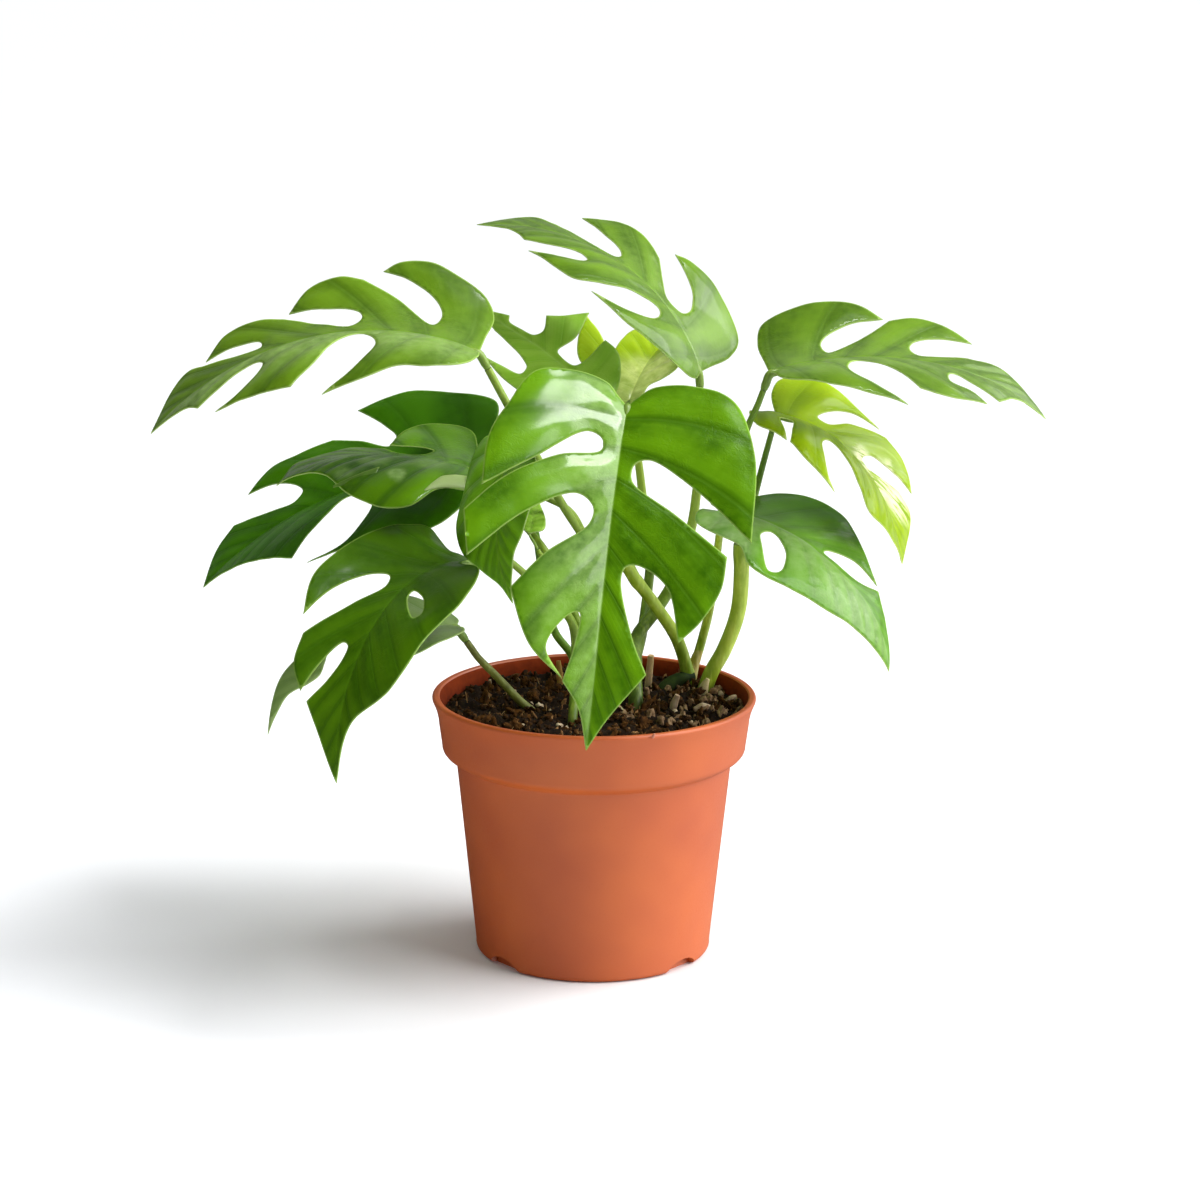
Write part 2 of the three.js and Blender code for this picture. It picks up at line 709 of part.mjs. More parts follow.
// Delaunay triangles of flat points, by adding one point at a time (Bowyer and Watson).
function delaunay(points) {
  const far = 1e4;
  const all = [...points, { x: -far, y: -far }, { x: far, y: -far }, { x: 0, y: far }];
  const count = points.length;
  const circled = (a, b, c) => {
    const [p, q, r] = [all[a], all[b], all[c]];
    const d = 2 * (p.x * (q.y - r.y) + q.x * (r.y - p.y) + r.x * (p.y - q.y));
    const [pp, qq, rr] = [p, q, r].map((v) => v.x * v.x + v.y * v.y);
    const x = (pp * (q.y - r.y) + qq * (r.y - p.y) + rr * (p.y - q.y)) / d;
    const y = (pp * (r.x - q.x) + qq * (p.x - r.x) + rr * (q.x - p.x)) / d;
    return { corners: [a, b, c], x, y, reach: Math.hypot(p.x - x, p.y - y) };
  };
  let triangles = [circled(count, count + 1, count + 2)];
  points.forEach((point, index) => {
    const rim = new Map();
    const kept = [];
    triangles.forEach((triangle) => {
      if (Math.hypot(point.x - triangle.x, point.y - triangle.y) > triangle.reach - 1e-7) {
        kept.push(triangle);
        return;
      }
      triangle.corners.forEach((from, side) => {
        const to = triangle.corners[(side + 1) % 3];
        if (!rim.delete(`${to},${from}`)) rim.set(`${from},${to}`, [from, to]);
      });
    });
    rim.forEach(([from, to]) => kept.push(circled(from, to, index)));
    triangles = kept;
  });
  return triangles
    .map((triangle) => triangle.corners)
    .filter((corners) => Math.max(...corners) < count);
}

// Splits the area inside a leaf's outlines into triangles, with the midrib as a row of edges.
function fillOutlines(leaf, outlines) {
  const inner = [];
  const addInside = (x, y, margin) => {
    if (isInside(x, y, outlines) && distanceToOutlines(x, y, outlines) > margin) {
      inner.push(new THREE.Vector3(x, y, 0));
    }
  };
  for (let along = blade.midribStep; along < leaf.length - 2; along += blade.midribStep) {
    addInside(along, 0, 1);
  }
  for (let row = 1; row <= blade.rows; row += 1) {
    for (let column = -2; column * blade.mesh < leaf.length; column += 1) {
      const along = (column + (row % 2 ? 0.5 : 0)) * blade.mesh;
      addInside(along, row * blade.rowHeight, blade.margin);
      addInside(along, -row * blade.rowHeight, blade.margin);
    }
  }
  const mostRounds = 12;
  for (let round = 0; round < mostRounds; round += 1) {
    const points = [...outlines.flat(), ...inner];
    const triangles = delaunay(points).filter((corners) => {
      const x = corners.reduce((sum, corner) => sum + points[corner].x, 0) / 3;
      const y = corners.reduce((sum, corner) => sum + points[corner].y, 0) / 3;
      return isInside(x, y, outlines);
    });
    const edges = new Set(triangles.flatMap(([a, b, c]) => [`${a},${b}`, `${b},${c}`, `${c},${a}`]));
    let first = 0;
    let missing = 0;
    outlines.forEach((outline, index) => {
      const split = [];
      outline.forEach((from, at) => {
        const next = (at + 1) % outline.length;
        split.push(from);
        const here = first + at;
        if (!edges.has(`${here},${first + next}`) && !edges.has(`${first + next},${here}`)) {
          split.push(from.clone().lerp(outline[next], 0.5));
          missing += 1;
        }
      });
      first += outline.length;
      outlines[index] = split;
    });
    if (missing === 0) return { points, triangles };
  }
  throw new Error(`the outline of ${leaf.name} crosses itself`);
}

// The point below a leaf where its stalk ends, and the direction in which the stalk leaves it.
function kneeOf(leaf) {
  const stalk = stems.flatMap((stem) => stem.routes).find((route) => route.leaf === leaf.name);
  const base = new THREE.Vector3(...leaf.base);
  const down = new THREE.Vector3(...stalk.points.at(-1)).sub(base).normalize();
  return { base, down, foot: base.clone().addScaledVector(down, blade.neck) };
}

function leafSolid(leaf) {
  const { points, triangles } = fillOutlines(leaf, outlinesOf(leaf));
  const edges = new Set(triangles.flatMap(([a, b, c]) => [`${a},${b}`, `${b},${c}`, `${c},${a}`]));
  const surface = bladeSurface(leaf);
  const middle = geometryFrom(points.map((point) => surface(point.x, point.y)), triangles.flat());
  middle.computeVertexNormals();
  const centres = middle.attributes.position;
  const normals = middle.attributes.normal;
  const count = points.length;
  const skin = [];
  for (const face of [1, -1]) {
    for (let index = 0; index < count; index += 1) {
      const onRib = face < 0 && Math.abs(points[index].y) < 0.01 && points[index].x > 0;
      const rib = onRib ? blade.rib * (1 - points[index].x / leaf.length) : 0;
      const normal = new THREE.Vector3().fromBufferAttribute(normals, index);
      const centre = new THREE.Vector3().fromBufferAttribute(centres, index);
      skin.push(centre.addScaledVector(normal, face * (blade.thickness / 2 + rib)));
    }
  }
  const faces = [];
  triangles.forEach(([a, b, c]) => {
    faces.push(a, b, c, a + count, c + count, b + count);
    [[a, b], [b, c], [c, a]].forEach(([from, to]) => {
      if (!edges.has(`${to},${from}`)) {
        faces.push(from, from + count, to + count, from, to + count, to);
      }
    });
  });
  const plate = solidOf(geometryFrom(skin, faces));
  const { base, foot } = kneeOf(leaf);
  const small = Math.min(1, leaf.length / blade.fullKnee);
  const [reach, depth] = blade.neckGrip;
  const baseNormal = new THREE.Vector3().fromBufferAttribute(normals, 0);
  const under = surface(reach * small, 0).addScaledVector(baseNormal, -depth);
  const knee = [foot, foot.clone().lerp(base, 0.25), base, under];
  const radius = blade.neckRadius.map((each) => each * small);
  return plate.add(tube(knee.map((point) => point.toArray()), radius));
}

// ---------------------------------------------------------------- stems and soil

function routeOf(route) {
  if (!route.leaf) return route.points;
  const { down, foot } = kneeOf(leaves.find((leaf) => leaf.name === route.leaf));
  const end = foot.clone().addScaledVector(down, GAP);
  const before = foot.clone().addScaledVector(down, stalkEnd);
  return [...route.points, before.toArray(), end.toArray()];
}

function stemSolid(stem, grow = 0) {
  const tubes = stem.routes.map((route) => tube(routeOf(route), route.radius, grow));
  return tubes.reduce((joined, next) => joined.add(next));
}

// Where a stem stands in the soil: its foot, a little wider and deeper.
function socketOf(stem) {
  const [route] = stem.routes;
  const [lower, next, above] = route.points.map((point) => new THREE.Vector3(...point));
  const deeper = lower.clone().addScaledVector(lower.clone().sub(next).normalize(), 2 * GAP);
  const points = [deeper, next, above].map((point) => point.toArray());
  return tube(points, [route.radius[0], route.radius[0]], GAP);
}

function soilHeight(x, y) {
  const humps = soil.waves.map(([height, overX, overY, shift]) => (
    height * Math.sin(x / overX + y / overY + shift)
  ));
  return soil.level + humps.reduce((sum, hump) => sum + hump, 0);
}

function innerRadius(height) {
  const lerp = THREE.MathUtils.mapLinear;
  if (height > pot.bandFoot) {
    return lerp(height, pot.bandFoot, pot.height, pot.bandBottom, pot.bandTop) - pot.wall;
  }
  if (height > pot.stepFoot) {
    return lerp(height, pot.stepFoot, pot.bandFoot, pot.bodyTop, pot.bandBottom) - pot.wall;
  }
  return lerp(height, pot.footHeight, pot.stepFoot, pot.bodyBottom, pot.bodyTop) - pot.wall;
}

// A closed surface turned about the z axis, from [radius, height] points.
function turned(profile, segments) {
  const outline = profile.map(([radius, height]) => new THREE.Vector2(radius, height));
  const geometry = new THREE.LatheGeometry(outline, segments);
  geometry.rotateX(Math.PI / 2);
  return geometry;
}

function soilSolid() {
  const bottom = pot.recess.height + pot.floor + GAP;
  const heights = [bottom, pot.stepFoot, pot.bandFoot, soil.level];
  const sides = heights.map((height) => [innerRadius(height) - soil.sideGap, height]);
  const profile = [[0, bottom], ...sides];
  [...soil.rings].reverse().forEach((radius) => profile.push([radius, soil.level]));
  profile.push([0, soil.level]);
  const bed = turned(profile, soil.segments);
  const position = bed.attributes.position;
  for (let index = 0; index < position.count; index += 1) {
    const [x, y, z] = [position.getX(index), position.getY(index), position.getZ(index)];
    if (z > soil.level - 0.01) position.setZ(index, soilHeight(x, y));
  }
  return stems.reduce((solid, stem) => solid.subtract(socketOf(stem)), solidOf(bed));
}

// ---------------------------------------------------------------- pot

function arc(centre, radius, from, to) {
  const points = [];
  for (let step = 0; step <= pot.profileSteps; step += 1) {
    const angle = THREE.MathUtils.degToRad(THREE.MathUtils.lerp(from, to, step / pot.profileSteps));
    points.push([centre[0] + radius * Math.cos(angle), centre[1] + radius * Math.sin(angle)]);
  }
  return points;
}

function potSolid() {
  const bead = pot.lipHeight / 2;
  const floorTop = pot.recess.height + pot.floor;
  const profile = [
    [0, 0],
    [pot.recess.inner, 0],
    [pot.recess.inner, pot.recess.height],
    [pot.recess.outer, pot.recess.height],
    [pot.recess.outer, 0],
    [pot.bodyBottom - pot.footEdge, 0],
    [pot.bodyBottom, pot.footHeight],
    [pot.bodyTop, pot.stepFoot],
    [pot.bandBottom, pot.bandFoot],
    [pot.bandTop, pot.height - pot.lipHeight - pot.lipTaper],
    ...arc([pot.rimRadius - bead, pot.height - bead], bead, -90, 90),
    [pot.rimInner, pot.height - pot.rimEdge],
    [innerRadius(pot.height - pot.rimDepth), pot.height - pot.rimDepth],
    [innerRadius(pot.bandFoot), pot.bandFoot],
    [innerRadius(pot.stepFoot), pot.stepFoot],
    [innerRadius(floorTop), floorTop],
    [0, floorTop],
  ];
  let solid = solidOf(turned(profile, pot.segments));
  const { drains, notches } = pot;
  for (let index = 0; index < drains.count; index += 1) {
    const drain = new THREE.CylinderGeometry(drains.radius, drains.radius, drains.depth, drains.sides);
    drain.rotateX(Math.PI / 2);
    drain.translate(drains.atRadius, 0, floorTop);
    drain.rotateZ(((index + 0.5) / drains.count) * 2 * Math.PI);
    solid = solid.subtract(solidOf(drain));
  }
  for (let index = 0; index < notches.count; index += 1) {
    const arch = new THREE.CylinderGeometry(notches.height, notches.height, notches.depth, notches.sides);
    arch.scale(notches.width / 2 / notches.height, 1, 1);
    arch.rotateZ(Math.PI / 2);
    arch.rotateX(Math.PI / 2);
    arch.translate(pot.bodyBottom, 0, 0);
    arch.rotateZ(THREE.MathUtils.degToRad(notches.turn) + (index / notches.count) * 2 * Math.PI);
    solid = solid.subtract(solidOf(arch));
  }
  return solid;
}

// ---------------------------------------------------------------- the plant in its pot

const group = new THREE.Group();
group.add(meshOf('pot', geometryOf(potSolid()), 'terracotta', 0.35));
group.add(meshOf('soil', geometryOf(soilSolid()), 'compost', 0.95));
stems.forEach((stem) => group.add(meshOf(stem.name, geometryOf(stemSolid(stem)), stem.colour, 0.5)));
leaves.forEach((leaf) => group.add(meshOf(leaf.name, geometryOf(leafSolid(leaf)), leaf.colour, 0.35)));

export default group;
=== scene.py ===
# A mini monstera (Rhaphidophora tetrasperma) in a terracotta-coloured nursery pot.
# Sizes are in millimetres until a mesh is made; mm turns them into Blender's metres.
import bmesh
import bpy
import json
import math
import numpy as np
from mathutils import Euler, Matrix, Vector, noise
from mathutils.geometry import delaunay_2d_cdt

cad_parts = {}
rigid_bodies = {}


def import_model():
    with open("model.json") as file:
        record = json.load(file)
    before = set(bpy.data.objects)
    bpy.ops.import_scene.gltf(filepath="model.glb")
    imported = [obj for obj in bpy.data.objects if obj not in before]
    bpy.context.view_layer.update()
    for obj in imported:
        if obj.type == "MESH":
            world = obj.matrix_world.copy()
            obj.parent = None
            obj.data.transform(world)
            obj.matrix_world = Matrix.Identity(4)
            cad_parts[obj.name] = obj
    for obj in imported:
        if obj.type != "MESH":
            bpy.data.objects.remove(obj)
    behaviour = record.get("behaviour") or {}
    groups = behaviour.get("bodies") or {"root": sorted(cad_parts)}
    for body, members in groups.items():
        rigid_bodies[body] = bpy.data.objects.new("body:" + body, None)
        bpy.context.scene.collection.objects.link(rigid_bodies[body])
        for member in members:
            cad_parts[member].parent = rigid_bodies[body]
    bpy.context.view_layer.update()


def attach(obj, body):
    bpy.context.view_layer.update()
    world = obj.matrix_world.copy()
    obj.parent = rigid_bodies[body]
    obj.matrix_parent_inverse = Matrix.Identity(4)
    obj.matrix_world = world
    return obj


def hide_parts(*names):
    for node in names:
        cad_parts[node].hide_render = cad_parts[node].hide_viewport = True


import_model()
mm = 0.001
scene = bpy.context.scene


def report(stage):
    print("mini monstera:", stage)


# angles are in degrees, the lens and its sensor in millimetres
cameraLook = {
    "place": (0, -1200, 424.5),
    "pitchDown": 13.63,
    "yaw": 0.093,
    "roll": 0.361,
    "lens": 100.6,
    "sensor": 36,
    "nearAndFar": (0.05, 20),  # in metres
}


def makeCamera(look):
    data = bpy.data.cameras.new("camera")
    data.lens = look["lens"]
    data.sensor_width = look["sensor"]
    data.clip_start, data.clip_end = look["nearAndFar"]
    camera = newObject("camera", data)
    turn = Matrix.Rotation(math.radians(-look["yaw"]), 4, "Z")
    turn = turn @ Matrix.Rotation(math.radians(90 - look["pitchDown"]), 4, "X")
    turn = turn @ Matrix.Rotation(math.radians(look["roll"]), 4, "Z")
    camera.matrix_world = Matrix.Translation(Vector(look["place"]) * mm) @ turn
    scene.camera = camera


def makeLamp(look, target):
    data = bpy.data.lights.new(look["name"], "AREA")
    data.shape = "RECTANGLE"
    data.size, data.size_y = look["size"]
    data.energy = look["power"]
    lamp = newObject(look["name"], data)
    lamp.location = look["place"]
    direction = Vector(target) - Vector(look["place"])
    lamp.rotation_euler = direction.to_track_quat("-Z", "Y").to_euler()


def makeSun(look):
    # a wide soft light from far away, its azimuth measured from the front
    data = bpy.data.lights.new(look["name"], "SUN")
    data.energy = look["power"]
    data.angle = math.radians(look["width"])
    sun = newObject(look["name"], data)
    azimuth, elevation = math.radians(look["azimuth"]), math.radians(look["elevation"])
    flat = math.cos(elevation)
    direction = Vector((math.sin(azimuth) * flat, -math.cos(azimuth) * flat, math.sin(elevation)))
    sun.rotation_euler = direction.to_track_quat("Z", "Y").to_euler()
    return sun


def hexColour(code):
    # an sRGB hex value as linear red, green and blue
    channels = [int(code[i:i + 2], 16) / 255 for i in (1, 3, 5)]
    linear = [c / 12.92 if c <= 0.04045 else ((c + 0.055) / 1.055) ** 2.4 for c in channels]
    return (*linear, 1.0)


def addNode(tree, kind, inputs=(), **settings):
    # inputs go by their sockets' order or names; a node given as an input stands for its first output
    node = tree.nodes.new(kind if "Node" in kind else "ShaderNode" + kind)
    for key, value in settings.items():
        setattr(node, key, value)
    sockets = [socket for socket in node.inputs if socket.enabled]
    for key, value in inputs.items() if isinstance(inputs, dict) else enumerate(inputs):
        socket = sockets[key] if isinstance(key, int) else next(s for s in sockets if s.name == key)
        if isinstance(value, bpy.types.Node):
            value = next(output for output in value.outputs if output.enabled)
        if isinstance(value, bpy.types.NodeSocket):
            tree.links.new(value, socket)
        else:
            socket.default_value = value
    return node


def newMaterial(name):
    material = bpy.data.materials.new(name)
    material.use_nodes = True
    material.node_tree.nodes.clear()
    return material, material.node_tree


def finishMaterial(material, inputs):
    shader = addNode(material.node_tree, "BsdfPrincipled", inputs)
    addNode(material.node_tree, "OutputMaterial", {"Surface": shader})
    return material


def layCoats(tree, colour, coats):
    # lays coats of colour over the first one; a coat's share is a pattern, or follows one from
    # its low to its high value: (colour, pattern, low, high, share at low, share at high)
    colour = hexColour(colour)
    for code, share, *span in coats:
        if span:
            share = addNode(tree, "MapRange", [share, *span])
        colour = addNode(tree, "Mix", [share, colour, hexColour(code)], data_type="RGBA")
    return colour


def newObject(name, data):
    piece = bpy.data.objects.new(name, data)
    scene.collection.objects.link(piece)
    return piece


def meshFrom(name, points, faces, smooth=True):
    mesh = bpy.data.meshes.new(name)
    mesh.from_pydata([tuple(p) for p in points], [], [tuple(int(i) for i in f) for f in faces])
    mesh.polygons.foreach_set("use_smooth", [smooth] * len(mesh.polygons))
    mesh.validate()
    mesh.update()
    return mesh


def smoothPath(points, spacing):
    # a centripetal Catmull-Rom curve through all the points, sampled about every spacing
    points = [np.array(p, float) for p in points]
    ends = [2 * points[0] - points[1], *points, 2 * points[-1] - points[-2]]
    samples = []
    for i in range(len(points) - 1):
        p0, p1, p2, p3 = ends[i:i + 4]
        d0, d1, d2 = [max(np.linalg.norm(b - a), 1e-6) ** 0.5 for a, b in ((p0, p1), (p1, p2), (p2, p3))]
        t1 = ((p1 - p0) / d0 - (p2 - p0) / (d0 + d1) + (p2 - p1) / d1) * d1
        t2 = ((p2 - p1) / d1 - (p3 - p1) / (d1 + d2) + (p3 - p2) / d2) * d1
        count = max(2, math.ceil(np.linalg.norm(p2 - p1) / spacing * 1.1))
        t = np.arange(count)[:, None] / count
        square, cube = 3 * (p2 - p1) - 2 * t1 - t2, 2 * (p1 - p2) + t1 + t2
        samples.append(p1 + t1 * t + square * t ** 2 + cube * t ** 3)
    samples.append(points[-1][None])
    return np.concatenate(samples)


tip = True  # a corner of the outline: the point of a lobe, or the far side of the slit behind it

# Each leaf has its skin, the place where its midrib starts, and often a scale, its size. Its pose
# is in degrees: heading, rise and roll at the base, then how far it arches, hooks, bends and
# twists up to the tip. Pairs are of the left and the right half: fold, sag, painted sheen and shine.
# Outlines hold points [along the midrib, across from it], and drip draws the leaf's tip out.
# Pale spots are [along, across, radius]; painted sheen spots, pale patches that stand in for the
# wax's reflection, have their strength as well.

leaves = [
    {
        "name": "leaf_upper_left", "skin": "sunLeaf", "base": [-42, -10, 227],
        "heading": 169.5, "rise": 20, "roll": 7, "arch": 73, "hook": -8, "bend": 4.5, "twist": -21.5,
        "fold": [-5.5, -8], "sag": [41, -31.5], "length": 132, "halfWidth": 38.5,
        "drip": 2.5, "swell": 0.8, "paintedSheen": [0.34, 0.04],
        "right": [
            [2, 17], [3, 30], [8, 38], [19, 44], [28, 47], [37, 45], [42, 40, tip],
            [33, 37], [22, 28], [19, 19], [21, 13], [35, 26], [48, 36, tip],
            [56, 38], [66, 34], [73, 23, tip],
            [62, 22], [48, 18], [46, 13], [49, 7], [61, 12], [75, 21, tip],
            [84, 25], [97, 25], [106, 16.5, tip],
            [94, 16], [84, 12], [83, 7], [87, 7], [98, 11], [107, 15, tip],
            [113, 18], [121, 15],
        ],
        "left": [
            [-2, 14], [1, 25], [11, 31], [22, 33], [36, 40], [52, 44, tip],
            [43, 37], [37, 28], [35, 18], [43, 5], [50, 11], [57, 27], [66, 36, tip],
            [79, 33], [100, 28, tip],
            [88, 26], [80, 19], [79, 14], [84, 9], [95, 13], [108, 18, tip],
            [114, 11],
        ],
    },
    {
        "name": "leaf_top", "skin": "sunLeaf", "base": [38.5, 30, 213.5],
        "heading": 135.5, "rise": 64, "roll": 24, "arch": 84, "hook": -16, "bend": -0.5, "twist": -22.5,
        "fold": [-9, -3], "sag": [27.5, -13.5], "length": 116, "halfWidth": 33.5,
        "drip": 3.5, "swell": 0.8, "paintedSheen": [0.06, 0.08],
        "right": [
            [2, 11], [5, 27], [10, 35], [21, 37], [34, 38], [44, 36], [49, 32, tip],
            [39, 28], [30, 22], [25, 15], [25, 8], [31, 6], [50, 23, tip],
            [62, 29], [74, 28], [85, 21, tip],
            [72, 16], [61, 11], [57, 6], [58, 3], [68, 3], [90, 10, tip],
            [103, 12],
        ],
        "left": [
            [-3, 10], [1, 20], [13, 30], [26, 35], [42, 35, tip],
            [31, 31], [23, 22], [23, 14], [27, 9], [34, 14], [43, 26, tip],
            [51, 34], [77, 28, tip],
            [65, 25], [58, 20], [58, 17], [62, 15], [74, 18], [85, 19, tip],
            [97, 9],
        ],
    },
    {
        "name": "leaf_upper_right", "skin": "sunLeaf", "base": [63, 0, 218.5],
        "heading": 12, "rise": 14.5, "roll": -6.5, "arch": 47, "hook": 8.5, "bend": 0, "twist": 21.5,
        "fold": [-6, -7.5], "sag": [-22.5, 31], "length": 111, "halfWidth": 39,
        "drip": 1.5, "swell": 0.7, "paintedSheen": [0.06, 0.14],
        "right": [
            [0, 22], [9, 30], [20, 37], [40, 45, tip],
            [32, 36], [25, 25], [25, 17], [31, 8], [39, 15], [48, 33, tip],
            [59, 34], [76, 29, tip],
            [70, 24], [63, 21], [64, 14], [68, 10], [74, 15], [83, 22, tip],
            [100, 3],
        ],
        "left": [
            [2, 15], [4, 30], [9, 41], [20, 45], [34, 45], [44, 40], [50, 32, tip],
            [38, 30], [27, 23], [24, 17], [25, 10], [37, 17], [52, 31, tip],
            [62, 34], [72, 32], [82, 25, tip],
            [69, 23], [59, 18], [56, 12], [58, 7], [69, 10], [79, 14, tip],
            [93, 16], [103, 10],
        ],
    },
    {
        "name": "leaf_right_young", "skin": "limeLeaf", "base": [67, 25, 198.5],
        "heading": -10.5, "rise": -8, "roll": -4, "arch": 88, "hook": -21, "bend": -3, "twist": 5,
        "fold": [-14, -12], "sag": [-12, 39.5], "length": 77.5, "halfWidth": 30,
        "pale": [[36, 4, 9], [46, 6, 12], [56, 9, 11], [50, 17, 9]],
        "right": [
            [-5, 2], [-9, 10], [-4, 24], [4, 27], [9, 29, tip],
            [3, 12], [7, 11], [9, 21], [10.5, 29, tip],
            [19, 33], [38, 35, tip],
            [31, 32], [22, 21], [21, 16], [23, 10], [31, 14], [41, 20, tip],
            [52, 23], [63, 14],
        ],
        "left": [
            [-2, 6], [-5, 19], [-3, 30], [10, 34], [23, 29], [32.5, 27.5, tip],
            [22, 24], [15, 15], [14, 9], [18, 8], [24, 17], [36, 27, tip],
            [45, 27], [56, 22, tip],
            [50, 19], [37, 11], [36, 4], [39, 3], [46, 8], [53, 14, tip],
            [62, 16],
        ],
    },
    {
        "name": "leaf_lower_right", "skin": "freshLeaf", "base": [46.5, 1.5, 167], "size": 0.993,
        "heading": -26.5, "rise": -2.5, "roll": -1.5, "arch": 64, "hook": 16.5, "bend": 0.5, "twist": 5,
        "fold": [0.5, 1], "sag": [-10.5, 20.5], "length": 91.5, "halfWidth": 30.5,
        "drip": 1.5, "swell": 0.35, "paintedSheen": [0.08, 0.3],
        "paintedSheenSpots": [[4, -13, 13, 0.4], [18, -23, 11, 0.4]],
        "right": [
            [-7, 1], [-4, 15], [4, 21], [19, 24], [27, 30.5], [35, 31.5], [44, 29], [60, 22], [72, 14],
        ],
        "left": [
            [-9, 10], [-3, 17], [3, 26], [13, 35], [33, 35], [48, 25], [63, 14.5, tip],
            [51, 14], [42, 7], [42, 3], [47, 3], [57, 5], [65, 13, tip],
            [78, 6],
        ],
        "rightHoles": [[[21, 10], [23, 6], [30, 10], [35, 16], [38, 25], [35, 28], [27, 20]]],
    },
    {
        "name": "leaf_front", "skin": "leaf", "base": [11, -39.5, 213], "size": 0.98,
        "heading": -99.5, "rise": -38, "roll": -7.5, "arch": 37.5, "hook": 10.5, "bend": 5.5, "twist": -10.5,
        "fold": [-11.5, -12.5], "sag": [8, 10.5], "length": 129.5, "halfWidth": 42,
        "drip": 2, "paintedSheen": [0, 0.27], "shine": [0.1, 1],
        "right": [
            [-4, 4], [-9, 9], [-11, 22], [-7, 35], [9, 42], [24, 47], [44, 47, tip],
            [31, 31], [15, 12], [17, 7], [22, 7], [27, 21], [33, 31], [41, 41], [54, 52, tip],
            [70, 49, tip],
            [51, 30], [41, 13], [45, 7], [52, 8], [65, 22], [79, 33, tip],
            [97, 24.3], [107.2, 11.5, tip],
            [97, 18.3], [85, 11], [84, 7.6], [94, 8], [108, 11.3, tip],
            [117, 4.5],
        ],
        "left": [
            [-4, 3], [-9, 9], [-10, 24], [-4, 38], [19, 48], [53, 50, tip],
            [36, 30], [24, 11], [26, 6], [33, 6], [44, 21], [59, 42, tip],
            [71, 41], [83, 35], [91, 28, tip],
            [72, 22], [65, 11], [66, 7], [71, 6], [91, 12], [103, 18, tip],
            [120, 6],
        ],
    },
    {
        "name": "leaf_left_back", "skin": "darkLeaf", "base": [-45.5, 37, 172.5], "size": 1.018,
        "heading": 168.5, "rise": 0.5, "roll": -14, "arch": 53, "hook": -8, "bend": 7.5, "twist": -5,
        "fold": [-11, -17], "sag": [27.5, -1.5], "length": 121, "halfWidth": 45.5,
        "drip": 1.5, "swell": 0.6,
        "right": [
            [-2, 20], [0, 41], [17, 46], [31, 49], [49, 45, tip],
            [38, 32], [33, 24], [35, 20], [47, 27], [58, 33, tip],
            [72, 34], [85, 35], [95, 29, tip],
            [83, 25], [73, 17], [70, 11], [74, 8], [88, 12], [103, 18, tip],
            [113, 13],
        ],
        "left": [
            [-2, 28], [7, 42], [29, 45], [58, 46, tip],
            [42, 42], [34, 24], [41, 11], [48, 7], [55, 20], [66, 39, tip],
            [89, 23],
        ],
    },
    {
        "name": "leaf_left_front", "skin": "leaf", "base": [-44, 6.5, 180.5], "size": 1.012,
        "heading": 166.5, "rise": 14, "roll": 10.5, "arch": 33, "hook": 22, "bend": 8.5, "twist": -4,
        "fold": [3.5, -2], "sag": [35, -21.5], "length": 76.5, "halfWidth": 34.5,
        "paintedSheen": [0, 0.03],
        "paintedSheenSpots": [[24, 22.5, 5, 0.55], [36, 12, 8, 0.25], [46, 20, 6, 0.3], [16, 8, 9, 0.2]],
        "right": [
            [7, 30], [13, 42], [26, 41], [33, 35], [36, 20, tip],
            [20, 18], [26, 6], [37, 14, tip],
            [50, 19], [61, 18], [70, 21],
        ],
        "left": [[-4, 22], [6, 26], [14, 38], [27, 40], [44, 32], [57, 15]],
    },
    {
        "name": "leaf_low_left", "skin": "shadeLeaf", "base": [-44, -30, 154.5], "size": 0.993,
        "heading": 232.5, "rise": 12.5, "roll": 6.5, "arch": 96.5, "hook": -2, "bend": 2, "twist": -3,
        "fold": [-10.5, -11], "sag": [10.5, -25.5], "length": 116, "halfWidth": 32.5,
        "drip": 2.5, "swell": 0.6,
        "right": [
            [-6, 8], [-3, 12], [-10, 31], [5, 32], [23, 31], [38, 31], [50, 31], [64, 26, tip],
            [50, 22], [38, 15], [35, 10], [41, 7], [54, 13], [70, 23, tip],
            [81, 22], [89, 17, tip],
            [78, 13], [69, 8], [70, 6], [76, 6], [84, 9], [92, 14, tip],
            [102, 8],
        ],
        "left": [[8, 4], [18, 10], [28, 26], [49, 33], [66, 27], [85, 20], [98, 5]],
        "leftHoles": [[[45, 6], [42, 6], [45, 12], [50, 17], [55, 19], [57, 17], [53, 12]]],
    },
    {
        "name": "leaf_low_left_back", "skin": "dustyLeaf", "base": [-51, -2, 123.5], "size": 1.01,
        "heading": 231.5, "rise": 11.5, "roll": -3.5, "arch": 42, "hook": 17.5, "bend": -4, "twist": 0,
        "fold": [-15, -12.5], "sag": [4.5, -0.5], "length": 99, "halfWidth": 30.5,
        "drip": 1,
        "right": [[-9, 8], [-4, 26], [44, 14], [71, 13], [82, 10]],
        "left": [
            [25, 26], [37, 29], [52, 30], [62, 26, tip],
            [52, 10], [46.5, -2], [48.5, -8.5], [52.5, -9.3], [57.5, -8.2], [64, -4], [70, -0.8],
            [76, -1.2], [83, -3.6], [91, -2.2],
        ],
    },
    {
        "name": "leaf_top_back", "skin": "paleLeaf", "base": [4, 28, 202.5],
        "heading": 144, "rise": 31.5, "roll": -31, "arch": 24, "hook": -1.5, "bend": -1.5, "twist": 0,
        "fold": [-8.5, 0], "sag": [13, 15.5], "length": 75.5, "halfWidth": 26,
        "right": [
            [1, 6], [8, 15], [16, 21], [24, 22, tip],
            [20, 7], [21, 3], [27, 2.5], [31, 4], [32, 14], [41, 29, tip],
            [45, 20], [50, 15, tip],
            [43, 7], [44, 3.5], [50, 2.5], [57, 2.5], [60, 5, tip],
            [66, 3],
        ],
        "left": [
